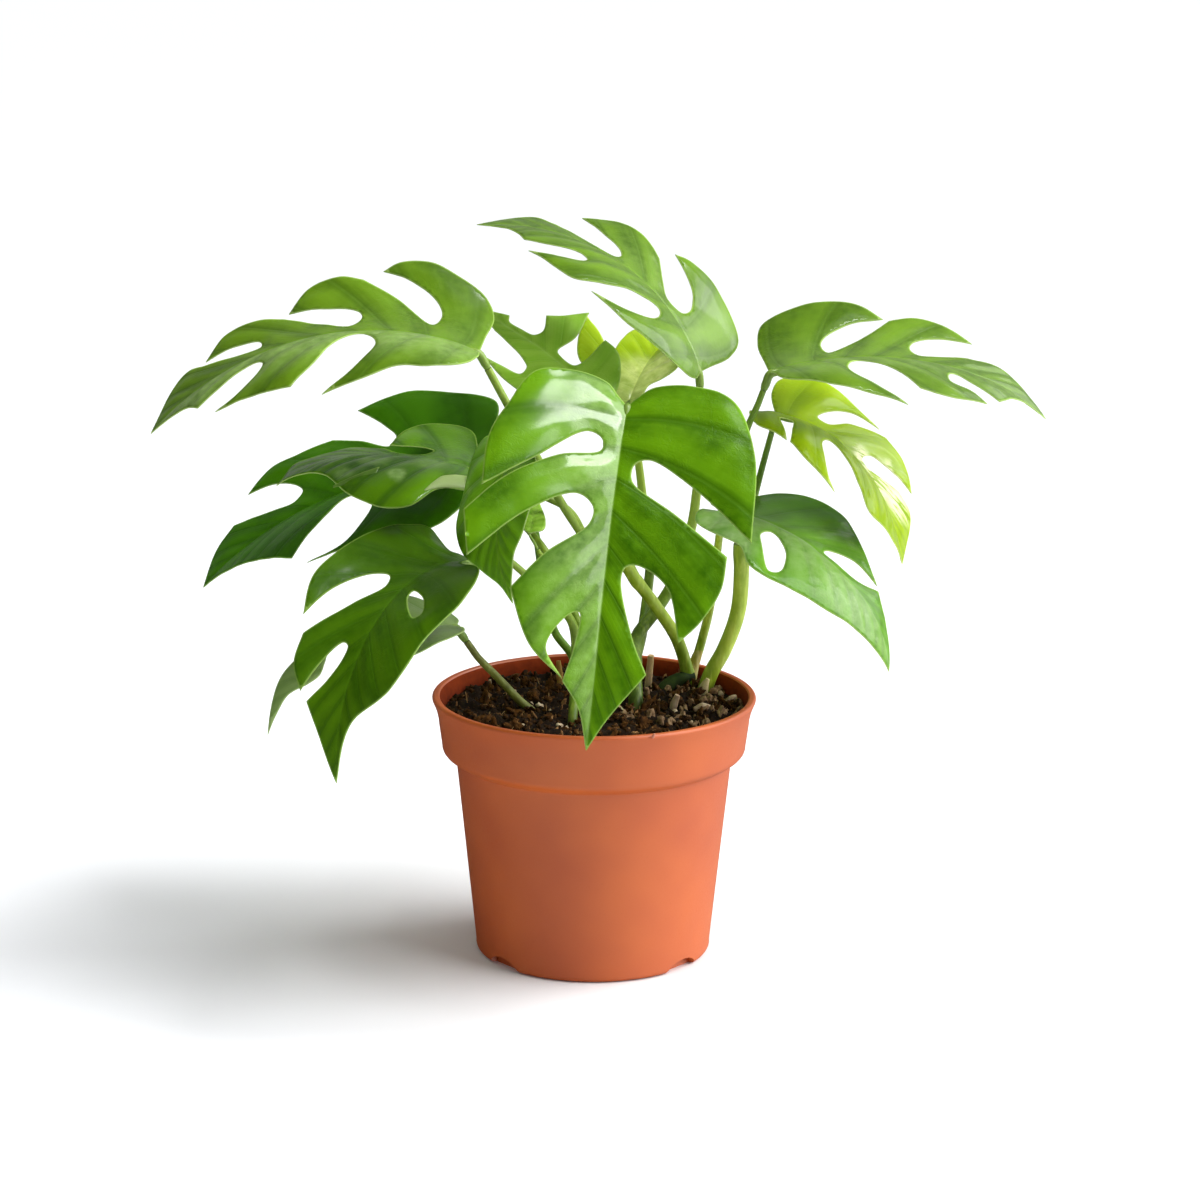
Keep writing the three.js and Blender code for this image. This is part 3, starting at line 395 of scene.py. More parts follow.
            [2, 6], [11, 14], [21, 20], [33, 21], [49, 18, tip],
            [40, 17], [31, 15], [32, 11], [36, 9], [45, 7], [57, 5, tip],
            [63, 3],
        ],
    },
    {
        "name": "leaf_back_young", "skin": "limeLeaf", "base": [12, 46, 197],
        "heading": 74.5, "rise": 33.5, "roll": -13, "arch": 37, "hook": 1.5, "bend": -1, "twist": 1,
        "fold": [-24.5, -14.5], "sag": [-5.5, 10.5], "length": 68.5, "halfWidth": 25,
        "paintedSheenSpots": [[14, -2, 24, 0.6], [26, -12, 14, 0.6]],
        "right": [[1, 5], [10, 7], [12, 12], [17, 17], [29, 16]],
        "left": [
            [3, 6], [12, 14], [18, 24], [29, 29], [47, 33, tip],
            [39, 24], [29, 15], [39, 15, tip],
            [51, 15], [67, 12, tip],
        ],
    },
    {
        "name": "leaf_hanging", "skin": "dimLeaf", "base": [-27.5, -22.5, 199], "size": 0.991,
        "heading": -117.5, "rise": -40.5, "roll": 42.5, "arch": 40, "hook": 5, "bend": 3.5, "twist": 4.5,
        "fold": [-7, -16.5], "sag": [18, 5.5], "length": 68, "halfWidth": 29,
        "right": [[-6, 15], [-5, 24], [6, 25], [18, 24], [31, 25], [41, 21], [50, 12], [60, 3]],
        "left": [[-2, 12], [5, 22], [18, 25], [33, 32], [43, 26], [49, 21], [54, 13], [62, 5]],
    },
    {
        "name": "leaf_small", "skin": "paleLeaf", "base": [-24, -5, 159.5],
        "heading": 80.5, "rise": 35, "roll": -2, "arch": 19.5, "hook": 0, "bend": 0, "twist": 0,
        "fold": [-4.5, -5], "sag": [15, 14.5], "length": 20, "halfWidth": 7.5,
        "right": [[2, 5], [7, 5], [15, 2]],
        "left": [[3, 3], [13, 4]],
    },
]

stemFoot = 68  # the height where the stems start, deep in the soil

# routes of each stem and its stalks, with the first and last radius of each route
stems = [
    {
        "name": "stem_front", "skin": "sunStem",
        "routes": [
            {
                "points": [
                    [33, 30, stemFoot], [36.5, 34, 88], [32, 32, 109], [23, 26, 125], [12, 17, 142],
                    [7, 9, 156],
                ],
                "radius": [2.6, 2.1],
            },
            {
                "points": [[7, 9, 156], [6, 0, 172], [6, -12, 188], [8, -26, 203]],
                "radius": [2, 1.5], "leaf": "leaf_front",
            },
            {
                "points": [[16, 20, 136], [10, 22, 150], [6, 25, 166], [4, 28, 184]],
                "radius": [1.5, 1.2], "leaf": "leaf_top_back",
            },
            {
                "points": [
                    [35.5, 33, 95], [39, 38, 102], [41.5, 36, 112], [43.5, 29, 124], [45, 17, 143],
                ],
                "radius": [1.8, 1.4], "leaf": "leaf_lower_right",
            },
        ],
    },
    {
        "name": "stem_right", "skin": "bowStem",
        "routes": [
            {
                "points": [
                    [36, 22, stemFoot], [41, 26, 89], [44.2, 26.5, 99], [49, 27, 108], [54, 25, 124],
                    [55, 22, 150],
                ],
                "radius": [2.9, 2.9],
            },
            {
                "points": [[55, 22, 150], [55, 25, 166], [54, 15, 181], [55, 5, 196], [59, 1, 207]],
                "radius": [1.7, 1.1], "leaf": "leaf_upper_right",
            },
            {
                "points": [[55, 23, 146], [58, 27, 160], [62, 26, 178]],
                "radius": [1.4, 1.1], "leaf": "leaf_right_young",
            },
        ],
    },
    {
        "name": "stem_middle", "skin": "reedStem",
        "routes": [
            {
                "points": [
                    [15, 2, stemFoot], [15.5, 4, 92], [15, 13, 105], [16, 26, 113], [23, 34, 121],
                    [29, 38, 130], [36, 36, 152], [38, 34, 167], [39, 32, 188],
                ],
                "radius": [3.1, 1.3], "leaf": "leaf_top",
            },
            {
                "points": [
                    [15, 15, 106], [18, 30, 114], [20, 41, 126], [21, 44, 140], [18, 43, 163],
                    [16, 44, 178],
                ],
                "radius": [2.2, 1.4], "leaf": "leaf_back_young",
            },
        ],
    },
    {
        "name": "stem_left", "skin": "stem",
        "routes": [
            {
                "points": [[-8, -21, stemFoot], [-8, -20, 90], [-7, -14, 104], [-6, -9, 119]],
                "radius": [1.6, 1.9],
            },
            {
                "points": [
                    [-6, -9, 119], [-1, -5, 129], [3, 1, 137], [3, 5, 144], [-4, 4, 156], [-13, 0, 171],
                    [-22, -4, 189], [-32, -8, 208],
                ],
                "radius": [1.8, 1.4], "leaf": "leaf_upper_left",
            },
            {
                "points": [[-3, 4, 155], [-9, 3, 166], [-18, 4, 171], [-31, 6, 175.5]],
                "radius": [1.3, 1.1], "leaf": "leaf_left_front",
            },
            {
                "points": [
                    [-5, -8, 124], [-11, -6, 139], [-18, -2, 152], [-26, 10, 159], [-35, 25, 164.5],
                ],
                "radius": [1.5, 1.2], "leaf": "leaf_left_back",
            },
            {"points": [[-16, -4, 148], [-20, -6, 152]], "radius": [0.9, 0.8], "leaf": "leaf_small"},
            {
                "points": [
                    [-6, -9, 119], [-9, -11, 129], [-17, -15, 138], [-26, -22, 149], [-33, -27, 155.5],
                ],
                "radius": [1.7, 1.2], "leaf": "leaf_low_left",
            },
        ],
    },
    {
        "name": "stem_inner", "skin": "darkStem",
        "routes": [
            {
                "points": [
                    [-8, 32, stemFoot], [-8, 31, 90], [-8, 27, 104], [-15, 22, 116], [-19, 20, 133],
                    [-22, 18, 154], [-28, 10, 178], [-30, -3, 189],
                ],
                "radius": [1.7, 1.2], "leaf": "leaf_hanging",
            },
        ],
    },
    {
        "name": "stem_low_left", "skin": "dullStem",
        "routes": [
            {
                "points": [
                    [-14, -1, stemFoot], [-20, 1, 87], [-28, 1, 95], [-36, 0, 104], [-43, -2, 112],
                ],
                "radius": [1.8, 1.3], "leaf": "leaf_low_left_back",
            },
        ],
    },
    {
        "name": "stem_dry_stub", "skin": "dryStem",
        "routes": [
            {
                "points": [[20.5, 35, stemFoot + 6], [20.5, 34.5, 90], [21.5, 33, 104]],
                "radius": [1.7, 1.2],
            },
        ],
    },
]

bladeLook = {
    "thickness": 0.55,
    "edgeThickness": 0.36,
    "spacing": 1.35,  # of the points inside a blade
    "jitter": 0.16,  # of those points, as a share of the spacing
    "outlineStep": 0.9,
    "spineSteps": 120,
    "veins": 10,  # lateral veins on each half
    "veinSwell": 0.6,  # how far the blade puffs up between two veins
    "veinRib": 0.14,  # how far a vein stands out below
    "pillow": 0.6,  # how far a lobe's middle stands above its margin
    "pillowWidth": 4.0,
    "wrinkle": 0.5,
    "grooveDepth": 0.3,
    "grooveWidth": 0.9,
    "ribHeight": 0.95,  # of the midrib, below, at the leaf's base
    "ribWidth": 0.85,
    "ripple": 0.4,  # of the margin
    "seed": 11,
}


def spineOf(leaf, steps):
    # the midrib in space and the turn of the blade along it
    size = leaf.get("size", 1)
    heading, rise, roll = [math.radians(leaf[key]) for key in ("heading", "rise", "roll")]
    turn = Euler((roll, -rise, heading), "XYZ").to_quaternion()
    point = Vector(leaf["base"])
    points, turns = [point.copy()], [turn.to_matrix()]
    for step in range(steps):
        start, end = step / steps, (step + 1) / steps
        pitch = math.radians(leaf["arch"] * (end - start) + leaf["hook"] * (end ** 4 - start ** 4))
        yaw = math.radians(leaf["bend"] / steps)
        twist = math.radians(leaf["twist"] / steps)
        half = Euler((twist / 2, pitch / 2, yaw / 2), "XYZ").to_quaternion()
        turn = turn @ half
        point = point + turn @ Vector((size * leaf["length"] / steps, 0, 0))
        turn = turn @ half
        points.append(point.copy())
        turns.append(turn.to_matrix())
    return np.array(points), np.array([[list(row) for row in t] for t in turns])


def bladePoints(leaf, along, across):
    # places flat points on the bent middle surface of a blade
    steps = bladeLook["spineSteps"]
    size = leaf.get("size", 1)
    points, turns = spineOf(leaf, steps)
    scaled = np.clip(along / leaf["length"] * steps, 0, steps - 1e-9)
    step = scaled.astype(int)
    part = (scaled - step)[:, None]
    place = points[step] * (1 - part) + points[step + 1] * part
    turn = turns[step] * (1 - part[:, :, None]) + turns[step + 1] * part[:, :, None]
    beyond = along - np.clip(along, 0, leaf["length"])
    fold = np.where(across > 0, *leaf["fold"])
    sag = np.where(across > 0, *leaf["sag"])
    reach = np.abs(across)
    angle = np.radians(fold + 0.5 * sag * reach / leaf["halfWidth"])
    place = place + size * turn[:, :, 0] * beyond[:, None]
    place = place + size * turn[:, :, 1] * (across * np.cos(angle))[:, None]
    return place - size * turn[:, :, 2] * (reach * np.sin(angle))[:, None]


def sampleOutline(points, step):
    # a closed outline, smooth between its corners
    corners = [i for i, p in enumerate(points) if len(p) > 2]
    flat = [np.array(p[:2], float) for p in points]
    if not corners:
        laps = smoothPath([*flat, *flat, *flat], step)
        starts = [i for i, p in enumerate(laps) if np.allclose(p, flat[0], atol=1e-6)]
        return laps[starts[1]:starts[2]]
    runs = []
    for turn, start in enumerate(corners):
        end = corners[(turn + 1) % len(corners)]
        count = (end - start) % len(points) or len(points)
        run = [flat[(start + i) % len(points)] for i in range(count + 1)]
        runs.append(smoothPath(run, step)[:-1])
    return np.concatenate(runs)


def outlinesOf(leaf, step):
    def onRight(points):
        return [[p[0], -p[1], *p[2:]] for p in points]

    point = [leaf["length"] + leaf.get("drip", 0), 0, tip]
    loop = [[0, 0, tip], *onRight(leaf["right"]), point, *reversed(leaf["left"])]
    holes = leaf.get("leftHoles", []) + [onRight(hole) for hole in leaf.get("rightHoles", [])]
    return [sampleOutline(loop, step)] + [sampleOutline(hole, step) for hole in holes]


def insideOutlines(points, outlines):
    inside = np.zeros(len(points), bool)
    for outline in outlines:
        for (x0, y0), (x1, y1) in zip(outline, np.roll(outline, -1, axis=0)):
            if y1 != y0:
                crosses = (y0 > points[:, 1]) != (y1 > points[:, 1])
                inside ^= crosses & (points[:, 0] < x0 + (points[:, 1] - y0) * (x1 - x0) / (y1 - y0))
    return inside


def distanceToOutlines(points, outlines):
    nearest = np.full(len(points), 1e9)
    for outline in outlines:
        for start, end in zip(outline, np.roll(outline, -1, axis=0)):
            edge = end - start
            part = np.clip(((points - start) @ edge) / max(edge @ edge, 1e-9), 0, 1)
            nearest = np.minimum(nearest, np.linalg.norm(points - start - part[:, None] * edge, axis=1))
    return nearest


def smoothStep(low, high, value):
    part = np.clip((value - low) / (high - low), 0, 1)
    return part * part * (3 - 2 * part)


def veinPhase(leaf, along, across):
    # counts the lateral veins from the base: a whole number is a vein; they sweep towards the tip
    reach = np.abs(across)
    start = (along + 0.22 * reach - 0.005 * reach ** 2) / (1 + 3 * reach / leaf["length"])
    return start / leaf["length"] * bladeLook["veins"] + 0.5


def fillOutlines(leaf, outlines, random):
    # splits the area inside the outlines into small triangles, finer along the midrib
    spacing, jitter = bladeLook["spacing"], bladeLook["jitter"]
    low, high = outlines[0].min(0), outlines[0].max(0)
    columns = np.arange(low[0], high[0], spacing)
    rows = np.arange(low[1], high[1], spacing * 0.87)
    grid = np.array([[x + (0.5 * spacing if i % 2 else 0), y] for i, y in enumerate(rows) for x in columns])
    grid += random.uniform(-jitter, jitter, grid.shape) * spacing
    grid = grid[np.abs(grid[:, 1]) > 1.2 * spacing]
    beside = (-0.9, -0.45, 0, 0.45, 0.9)
    ribLine = np.array([[x, y] for x in np.arange(0.6, leaf["length"], 0.9) for y in beside])
    inner = np.concatenate([grid, ribLine])
    inner = inner[insideOutlines(inner, outlines)]
    inner = inner[distanceToOutlines(inner, outlines) > 0.4 * spacing]
    points = np.concatenate([*outlines, inner])
    edges, first = [], 0
    for outline in outlines:
        count = len(outline)
        edges += [(first + i, first + (i + 1) % count) for i in range(count)]
        first += count
    flat = [Vector(p) for p in points.tolist()]
    found, _, triangles = delaunay_2d_cdt(flat, edges, [], 0, 1e-4, False)[:3]
    found = np.array([tuple(p) for p in found])
    triangles = np.array(triangles)
    corners = found[triangles]
    (ax, ay), (bx, by) = (corners[:, 1] - corners[:, 0]).T, (corners[:, 2] - corners[:, 0]).T
    area = ax * by - ay * bx
    triangles[area < 0] = triangles[area < 0][:, ::-1]
    triangles = triangles[insideOutlines(corners.mean(1), outlines) & (np.abs(area) > 1e-7)]
    used = np.unique(triangles)
    renumber = np.zeros(len(found), int)
    renumber[used] = np.arange(len(used))
    return found[used], renumber[triangles]


def vertexNormals(points, triangles):
    corners = points[triangles]
    crossed = np.cross(corners[:, 1] - corners[:, 0], corners[:, 2] - corners[:, 0])
    normals = np.zeros_like(points)
    for corner in range(3):
        np.add.at(normals, triangles[:, corner], crossed)
    return normals / np.maximum(np.linalg.norm(normals, axis=1, keepdims=True), 1e-12)


def setAttribute(mesh, name, kind, field, values):
    # values: one set for the upper face of a blade, which its lower face repeats
    layer = mesh.attributes.new(name, kind, "POINT")
    layer.data.foreach_set(field, np.ascontiguousarray(np.concatenate([values, values]), np.float32).ravel())


def makeBlade(leaf, materials, index):
    look = bladeLook
    random = np.random.default_rng(look["seed"] + index)
    outlines = outlinesOf(leaf, look["outlineStep"])
    flat, triangles = fillOutlines(leaf, outlines, random)
    along, across = flat.T
    reach = np.abs(across)
    margin = distanceToOutlines(flat, outlines)
    phase = veinPhase(leaf, along, across)
    middle = bladePoints(leaf, along, across)
    normals = vertexNormals(middle, triangles)

    # the blade puffs up between veins, its margin wavers and the midrib lies in a groove
    toTip = np.clip(1 - along / leaf["length"], 0, 1)
    wobble = np.array([noise.noise(Vector((x * 0.11, y * 0.11, index * 7.3))) for x, y in flat])
    puff = np.abs(np.sin(math.pi * phase)) - 0.5
    swell = look["veinSwell"] * leaf.get("swell", 1)
    lift = swell * puff * smoothStep(1, 7, reach) * smoothStep(0, 7, margin)
    lift += look["pillow"] * (1 - np.exp(-((margin / look["pillowWidth"]) ** 2)))
    spots = [Vector((p * 1.7, r * 0.06, index * 3.1 + 40)) for p, r in zip(phase, reach)]
    folds = np.array([noise.noise(spot) for spot in spots])
    lift += look["wrinkle"] * folds * smoothStep(0, 5, margin) * smoothStep(0, 5, reach)
    lift += look["ripple"] * wobble * (1 - smoothStep(0, 9, margin)) * smoothStep(2, 9, reach)
    groove = look["grooveDepth"] * np.exp(-(reach / look["grooveWidth"]) ** 2) * (0.35 + 0.65 * toTip)
    rib = look["ribHeight"] * np.exp(-(reach / look["ribWidth"]) ** 2) * (0.2 + 0.8 * toTip)
    rib = rib * smoothStep(-1.2, 2, margin)
    thicker = (look["thickness"] - look["edgeThickness"]) * smoothStep(0, 1.6, margin)
    half = 0.5 * (look["edgeThickness"] + thicker)
    veinRib = look["veinRib"] * np.exp(-((phase - np.round(phase)) * 9) ** 2) * smoothStep(1, 4, margin)
    upper = middle + normals * (lift + half - groove)[:, None]
    lower = middle + normals * (lift - half - rib - veinRib)[:, None]

    count = len(flat)
    edges = {(a, b) for t in triangles.tolist() for a, b in ((t[0], t[1]), (t[1], t[2]), (t[2], t[0]))}
    rim = sorted((a, b) for a, b in edges if (b, a) not in edges)
    faces = triangles.tolist() + (triangles[:, ::-1] + count).tolist()
    faces += [(a, a + count, b + count, b) for a, b in rim]
    mesh = meshFrom(leaf["name"], np.concatenate([upper, lower]) * mm, faces)
    for material in materials:
        mesh.materials.append(material)
    slots = [0] * len(triangles) + [1] * (len(triangles) + len(rim))
    mesh.polygons.foreach_set("material_index", slots)

    # what the skin reads: the place between veins, cream patches, painted sheen (pale patches that stand in
    # for the wax's reflection) and the wax's shine
    pale = np.zeros(count)
    for spotAlong, spotAcross, radius in leaf.get("pale", []):
        far = np.hypot(along - spotAlong, across - spotAcross) + 3 * wobble
        pale = np.maximum(pale, 1 - smoothStep(0.35 * radius, radius, far))
    paintedSheen = np.where(across > 0, *leaf.get("paintedSheen", [0, 0]))
    paintedSheen = paintedSheen * (1 - smoothStep(10, 34, reach)) * smoothStep(-1.5, 3, margin)
    for spotAlong, spotAcross, radius, strength in leaf.get("paintedSheenSpots", []):
        far = np.hypot(along - spotAlong, across - spotAcross) + 4 * wobble
        paintedSheen = np.maximum(paintedSheen, strength * (1 - smoothStep(0.3 * radius, radius, far)))
    shine = np.where(across > 0, *leaf.get("shine", [1, 1]))
    setAttribute(mesh, "leafPlan", "FLOAT_VECTOR", "vector", np.stack([phase, reach, margin], 1))
    for name, values in (("pale", pale), ("paintedSheen", paintedSheen), ("shine", shine)):
        setAttribute(mesh, name, "FLOAT", "value", values)
    return mesh


# strips of a leaf's margin that are turned over: where they start on the blade, how far they
# reach across it and how high they stand above it; side 1 shows the leaf's underside
flaps = [
    {
        "name": "leaf_left_front_curl", "leaf": "leaf_left_front", "side": 1, "pale": 0.15,
        "line": [[-4, 22.5], [1, 24], [6, 26], [11, 30]],
        "reach": [[2.5, -9], [2.2, -8.5], [1.5, -7], [0.3, -0.6]],
        "profile": [[0, 0.1], [0.12, 0.75], [0.45, 1], [0.8, 0.9], [1, 0.7]],
        "lift": [0.9, 1.1, 0.9, 0.3],
    },
    {
        "name": "leaf_left_front_fold", "leaf": "leaf_left_front", "side": 0, "pale": 0.06,
        "line": [[50, 28.4], [44, 28], [38.5, 26], [33, 23]],
        "reach": [[0, -0.4], [-1, -2.5], [-1, -3], [-1, -3]],
        "profile": [[0, 0], [0.4, 0.45], [0.8, 0.9], [1, 1.1]],
        "lift": [0.3, 1.0, 1.4, 1.6],
    },
]
flapLook = {"step": 0.8, "thickness": 0.3, "above": 0.35, "phase": 0.3, "fromRib": 9.0, "toMargin": 3}


def makeFlap(leaf, flap, materials):
    # a strip of the margin, turned over onto the blade
    look = flapLook
    line = smoothPath(flap["line"], look["step"])
    share = np.linspace(0, 1, len(line))
    known = np.linspace(0, 1, len(flap["line"]))
    reach = np.stack([np.interp(share, known, column) for column in np.array(flap["reach"]).T], 1)
    lift = np.interp(share, known, flap["lift"])
    rows = []
    for part, height in flap["profile"]:
        flat = line + part * reach
        middle = bladePoints(leaf, *flat.T)
        ahead = bladePoints(leaf, *(flat + [0.5, 0]).T) - middle
        aside = bladePoints(leaf, *(flat + [0, 0.5]).T) - middle
        normal = np.cross(ahead, aside)
        normal /= np.linalg.norm(normal, axis=1, keepdims=True)
        rows.append(middle + normal * (height * lift + look["above"])[:, None])
    sheet = np.concatenate(rows)
    points = np.concatenate([sheet, sheet - [0, 0, look["thickness"]]])
    count, half = len(line), len(sheet)
    last = half - count
    faces = []
    for row in range(len(rows) - 1):
        for step in range(count - 1):
            a, b = row * count + step, row * count + step + 1
            c, d = b + count, a + count
            faces += [(a, b, c, d), (d + half, c + half, b + half, a + half)]
    for step in range(count - 1):
        faces += [(step + 1, step, step + half, step + 1 + half),
                  (last + step, last + step + 1, last + step + 1 + half, last + step + half)]
    for row in range(len(rows) - 1):
        a, b = row * count, (row + 1) * count
        c, d = a + count - 1, b + count - 1
        faces += [(a, b, b + half, a + half), (d, c, c + half, d + half)]
    mesh = meshFrom(flap["name"], points * mm, faces)
    for material in materials:
        mesh.materials.append(material)
    mesh.polygons.foreach_set("material_index", [flap["side"]] * len(mesh.polygons))
    margin = np.repeat([look["toMargin"] * (1 - part) for part, _ in flap["profile"]], count)
    plan = np.stack([np.full(half, look["phase"]), np.full(half, look["fromRib"]), margin], 1)
    setAttribute(mesh, "leafPlan", "FLOAT_VECTOR", "vector", plan)
    setAttribute(mesh, "pale", "FLOAT", "value", np.full(half, flap["pale"]))
    setAttribute(mesh, "shine", "FLOAT", "value", np.ones(half))
    return mesh


# stems, stalks and knees are swept along their routes
stalkLook = {
    "step": 1.2,
    "sides": 20,
    "knotHeight": 0.35,  # of the ring where a stalk leaves its stem
    "knotWidth": 3.2,
}
kneeLook = {"length": 6.5, "radius": 1.45, "gap": 0.3, "step": 0.6}


def makeSweep(name, splines, sides, material):
    # splines: a list of (points in millimetres, radii)
    data = bpy.data.curves.new(name, "CURVE")
    data.dimensions = "3D"
    for points, radii in splines:
        spline = data.splines.new("POLY")
        spline.points.add(len(points) - 1)
        for target, place, radius in zip(spline.points, points, radii):
            target.co = (*(np.array(place) * mm), 1)
            target.radius = radius * mm
    source = newObject(name + "_route", data)
    tree = bpy.data.node_groups.new("sweepStalks", "GeometryNodeTree")
    tree.interface.new_socket("Routes", in_out="INPUT", socket_type="NodeSocketGeometry")
    sidesSocket = tree.interface.new_socket("Sides", in_out="INPUT", socket_type="NodeSocketInt")
    tree.interface.new_socket("Stalks", in_out="OUTPUT", socket_type="NodeSocketGeometry")
    given = addNode(tree, "NodeGroupInput").outputs
    ring = addNode(tree, "GeometryNodeCurvePrimitiveCircle", {"Resolution": given["Sides"], "Radius": 1.0})
    swept = addNode(tree, "GeometryNodeCurveToMesh", {
        "Curve": given["Routes"], "Profile Curve": ring, "Scale": addNode(tree, "GeometryNodeInputRadius"),
        "Fill Caps": True})
    smooth = addNode(tree, "GeometryNodeSetShadeSmooth", [swept])
    real = addNode(tree, "GeometryNodeRealizeInstances", [smooth])
    painted = addNode(tree, "GeometryNodeSetMaterial", {"Geometry": real, "Material": material})
    addNode(tree, "NodeGroupOutput", [painted])
    modifier = source.modifiers.new("sweep", "NODES")
    modifier.node_group = tree
    modifier[sidesSocket.identifier] = sides
    return bakeNodes(source, name)


def bakeNodes(source, name):
    # turns what the modifier makes into a plain mesh object
    depsgraph = bpy.context.evaluated_depsgraph_get()
    mesh = bpy.data.meshes.new_from_object(source.evaluated_get(depsgraph))
    source.modifiers.clear()
    bpy.data.objects.remove(source)
    mesh.name = name
    return newObject(name, mesh)


def kneeOf(leaf):
    # where the leaf's stalk ends, and the way down along it from the leaf's base
    base = np.array(leaf["base"], float)
    end = next(r["points"][-1] for s in stems for r in s["routes"] if r.get("leaf") == leaf["name"])
    down = (np.array(end) - base) / np.linalg.norm(np.array(end) - base)
    return base + down * kneeLook["length"], down


def makeStem(stem, material):
    joints = [route["points"][0] for route in stem["routes"][1:]]
    splines = []
    for route in stem["routes"]:
        points = list(route["points"])
        if "leaf" in route:
            foot, down = kneeOf(leafNamed(route["leaf"]))
            points += [foot + 3 * down, foot + kneeLook["gap"] * down]
        path = smoothPath(points, stalkLook["step"])
        lengths = np.concatenate([[0], np.cumsum(np.linalg.norm(np.diff(path, axis=0), axis=1))])
        first, last = route["radius"]
        radii = first + (last - first) * (lengths / lengths[-1])
        for joint in joints:
            away = np.linalg.norm(path - np.array(joint), axis=1)
            radii = radii + stalkLook["knotHeight"] * np.exp(-(away / stalkLook["knotWidth"]) ** 2)
        splines.append((path, radii))
    return makeSweep(stem["name"] + "_stalks", splines, stalkLook["sides"], material)


def kneeSpline(leaf):
    # from the stalk's end up into the midrib, thinner on a small leaf
    foot, down = kneeOf(leaf)
    small = min(1, leaf["length"] / 60)
    under, entry = [bladePoints(leaf, np.array([x * small]), np.array([0.0]))[0] for x in (5.0, 9.0)]
    corner, ahead, aside = bladePoints(leaf, np.array([4.0, 5.0, 4.0]), np.array([0.0, 0.0, 1.0]))
    normal = np.cross(ahead - corner, aside - corner)
    normal /= np.linalg.norm(normal)
    base = np.array(leaf["base"], float)
    points = [foot, foot - 2.5 * down, base - 0.5 * normal, under - 0.75 * normal, entry - 0.55 * normal]
    path = smoothPath(points, kneeLook["step"])
    share = np.linspace(0, 1, len(path))
    swell = np.interp(share, [0, 0.12, 0.4, 0.6, 0.8, 1], [0.85, 1.08, 1.1, 0.85, 0.6, 0.25])
    return path, kneeLook["radius"] * small * swell


# small things round the stems' feet and on the lip, swept along their points with these radii
extraLook = {"step": 0.5, "sides": 14}
extras = [
    {
        "name": "rhizome", "skin": "rhizomeBark",
        "points": [[38, 33.5, 96], [34, 32, 95.4], [30, 31, 93.8], [26.5, 29.5, 91.6], [24, 28.5, 88]],
        "radii": [1.6, 2.6, 3.0, 2.8, 1.5],
    },
    {
        "name": "sheath", "skin": "drySheath",
        "points": [
            [36, 33.5, 89], [36.6, 34.5, 94], [37.8, 36.4, 99], [39.4, 37.6, 103.5], [40.6, 37.8, 106.5],
        ],
        "radii": [2.2, 2.5, 2.2, 1.9, 1.3],
    },
    {
        "name": "root_tip", "skin": "paleRoot",
        "points": [[40.2, 22, 88], [40.8, 21.4, 92.5], [41.6, 20.8, 95.6], [42.8, 20.8, 98.2]],
        "radii": [2.0, 2.2, 1.8, 0.8],
    },
    {
        "name": "root_left", "skin": "paleRoot",
        "points": [[16, 0, 88], [13.4, -2, 89.6], [11, -1, 91], [9, 1, 92.6], [6.6, 3, 92]],
        "radii": [0.8, 0.9, 0.8, 0.7, 0.5],
    },
    {
        "name": "root_right", "skin": "paleRoot",
        "points": [[14, -3, 90.2], [11, -4.4, 91.4], [8.4, -4, 91], [5, -2.6, 90.8]],
        "radii": [0.6, 0.75, 0.7, 0.4],
    },
    {
        "name": "dry_stick", "skin": "dryBark",
        "points": [[-12, 29, 86], [-12.7, 28.5, 94], [-13.2, 29, 98], [-13.6, 29.4, 102.6]],
        "radii": [1.1, 1.5, 1.3, 0.8],
    },
    {
        "name": "chip_tall", "skin": "paleChip",
        "points": [[29, 2, 89.5], [29.6, 2, 93], [31, 1.6, 97]],
        "radii": [1.3, 1.5, 1.0],
    },
    {
        "name": "chip_flat", "skin": "paleChip",
        "points": [[37, -6, 93.6], [40, -5, 94.4], [43, -4, 94]],
        "radii": [0.9, 1.5, 0.8],
    },
    {
        "name": "chip_back", "skin": "paleChip",
        "points": [[49, 6, 92.5], [51.4, 7, 94.4], [53, 8, 94.8]],
        "radii": [0.8, 1.3, 0.8],
    },
    {
        "name": "nub", "skin": "pinkNub",
        "points": [[20.9, -56.6, 97.3], [21.2, -57.1, 98.2], [21.5, -57.4, 98.8]],
        "radii": [0.55, 0.6, 0.3],
    },
]


def makeExtra(extra, material):
    path = smoothPath(extra["points"], extraLook["step"])
    share = np.linspace(0, 1, len(path))
    radii = np.interp(share, np.linspace(0, 1, len(extra["radii"])), extra["radii"])
    return makeSweep(extra["name"], [(path, radii)], extraLook["sides"], material)


potLook = {
    "height": 98,
    "rimRadius": 60,
    "rimInner": 57.2,
    "lipHeight": 2.2,
    "bandTop": 57.6,
    "bandBottom": 56.4,
    "bandFoot": 77.5,
    "stepFoot": 73.8,
    "bodyTop": 51.2,
    "bodyBottom": 43.9,
    "footHeight": 3.6,
    "wall": 1.4,
    "floorTop": 4.6,
    "recess": (27, 39.5, 3),  # under the floor: inner and outer radius, height
    "drains": (8, 4, 33.2),  # how many, their radius and how far from the middle
    "notches": (4, 8, 4.3, 45, 4.5),  # how many, half width, height, where the first one is, stagger
    "sides": 192,
}


def innerRadius(height):
    p = potLook
    heights = [p["footHeight"], p["stepFoot"], p["bandFoot"], p["height"]]
    radii = [p["bodyBottom"], p["bodyTop"], p["bandBottom"], p["bandTop"]]
    return float(np.interp(height, heights, radii)) - p["wall"]


def arc(centre, radius, start, end, steps):
    angles = np.radians(np.linspace(start, end, steps + 1))
    return [(centre[0] + radius * math.cos(a), centre[1] + radius * math.sin(a)) for a in angles]


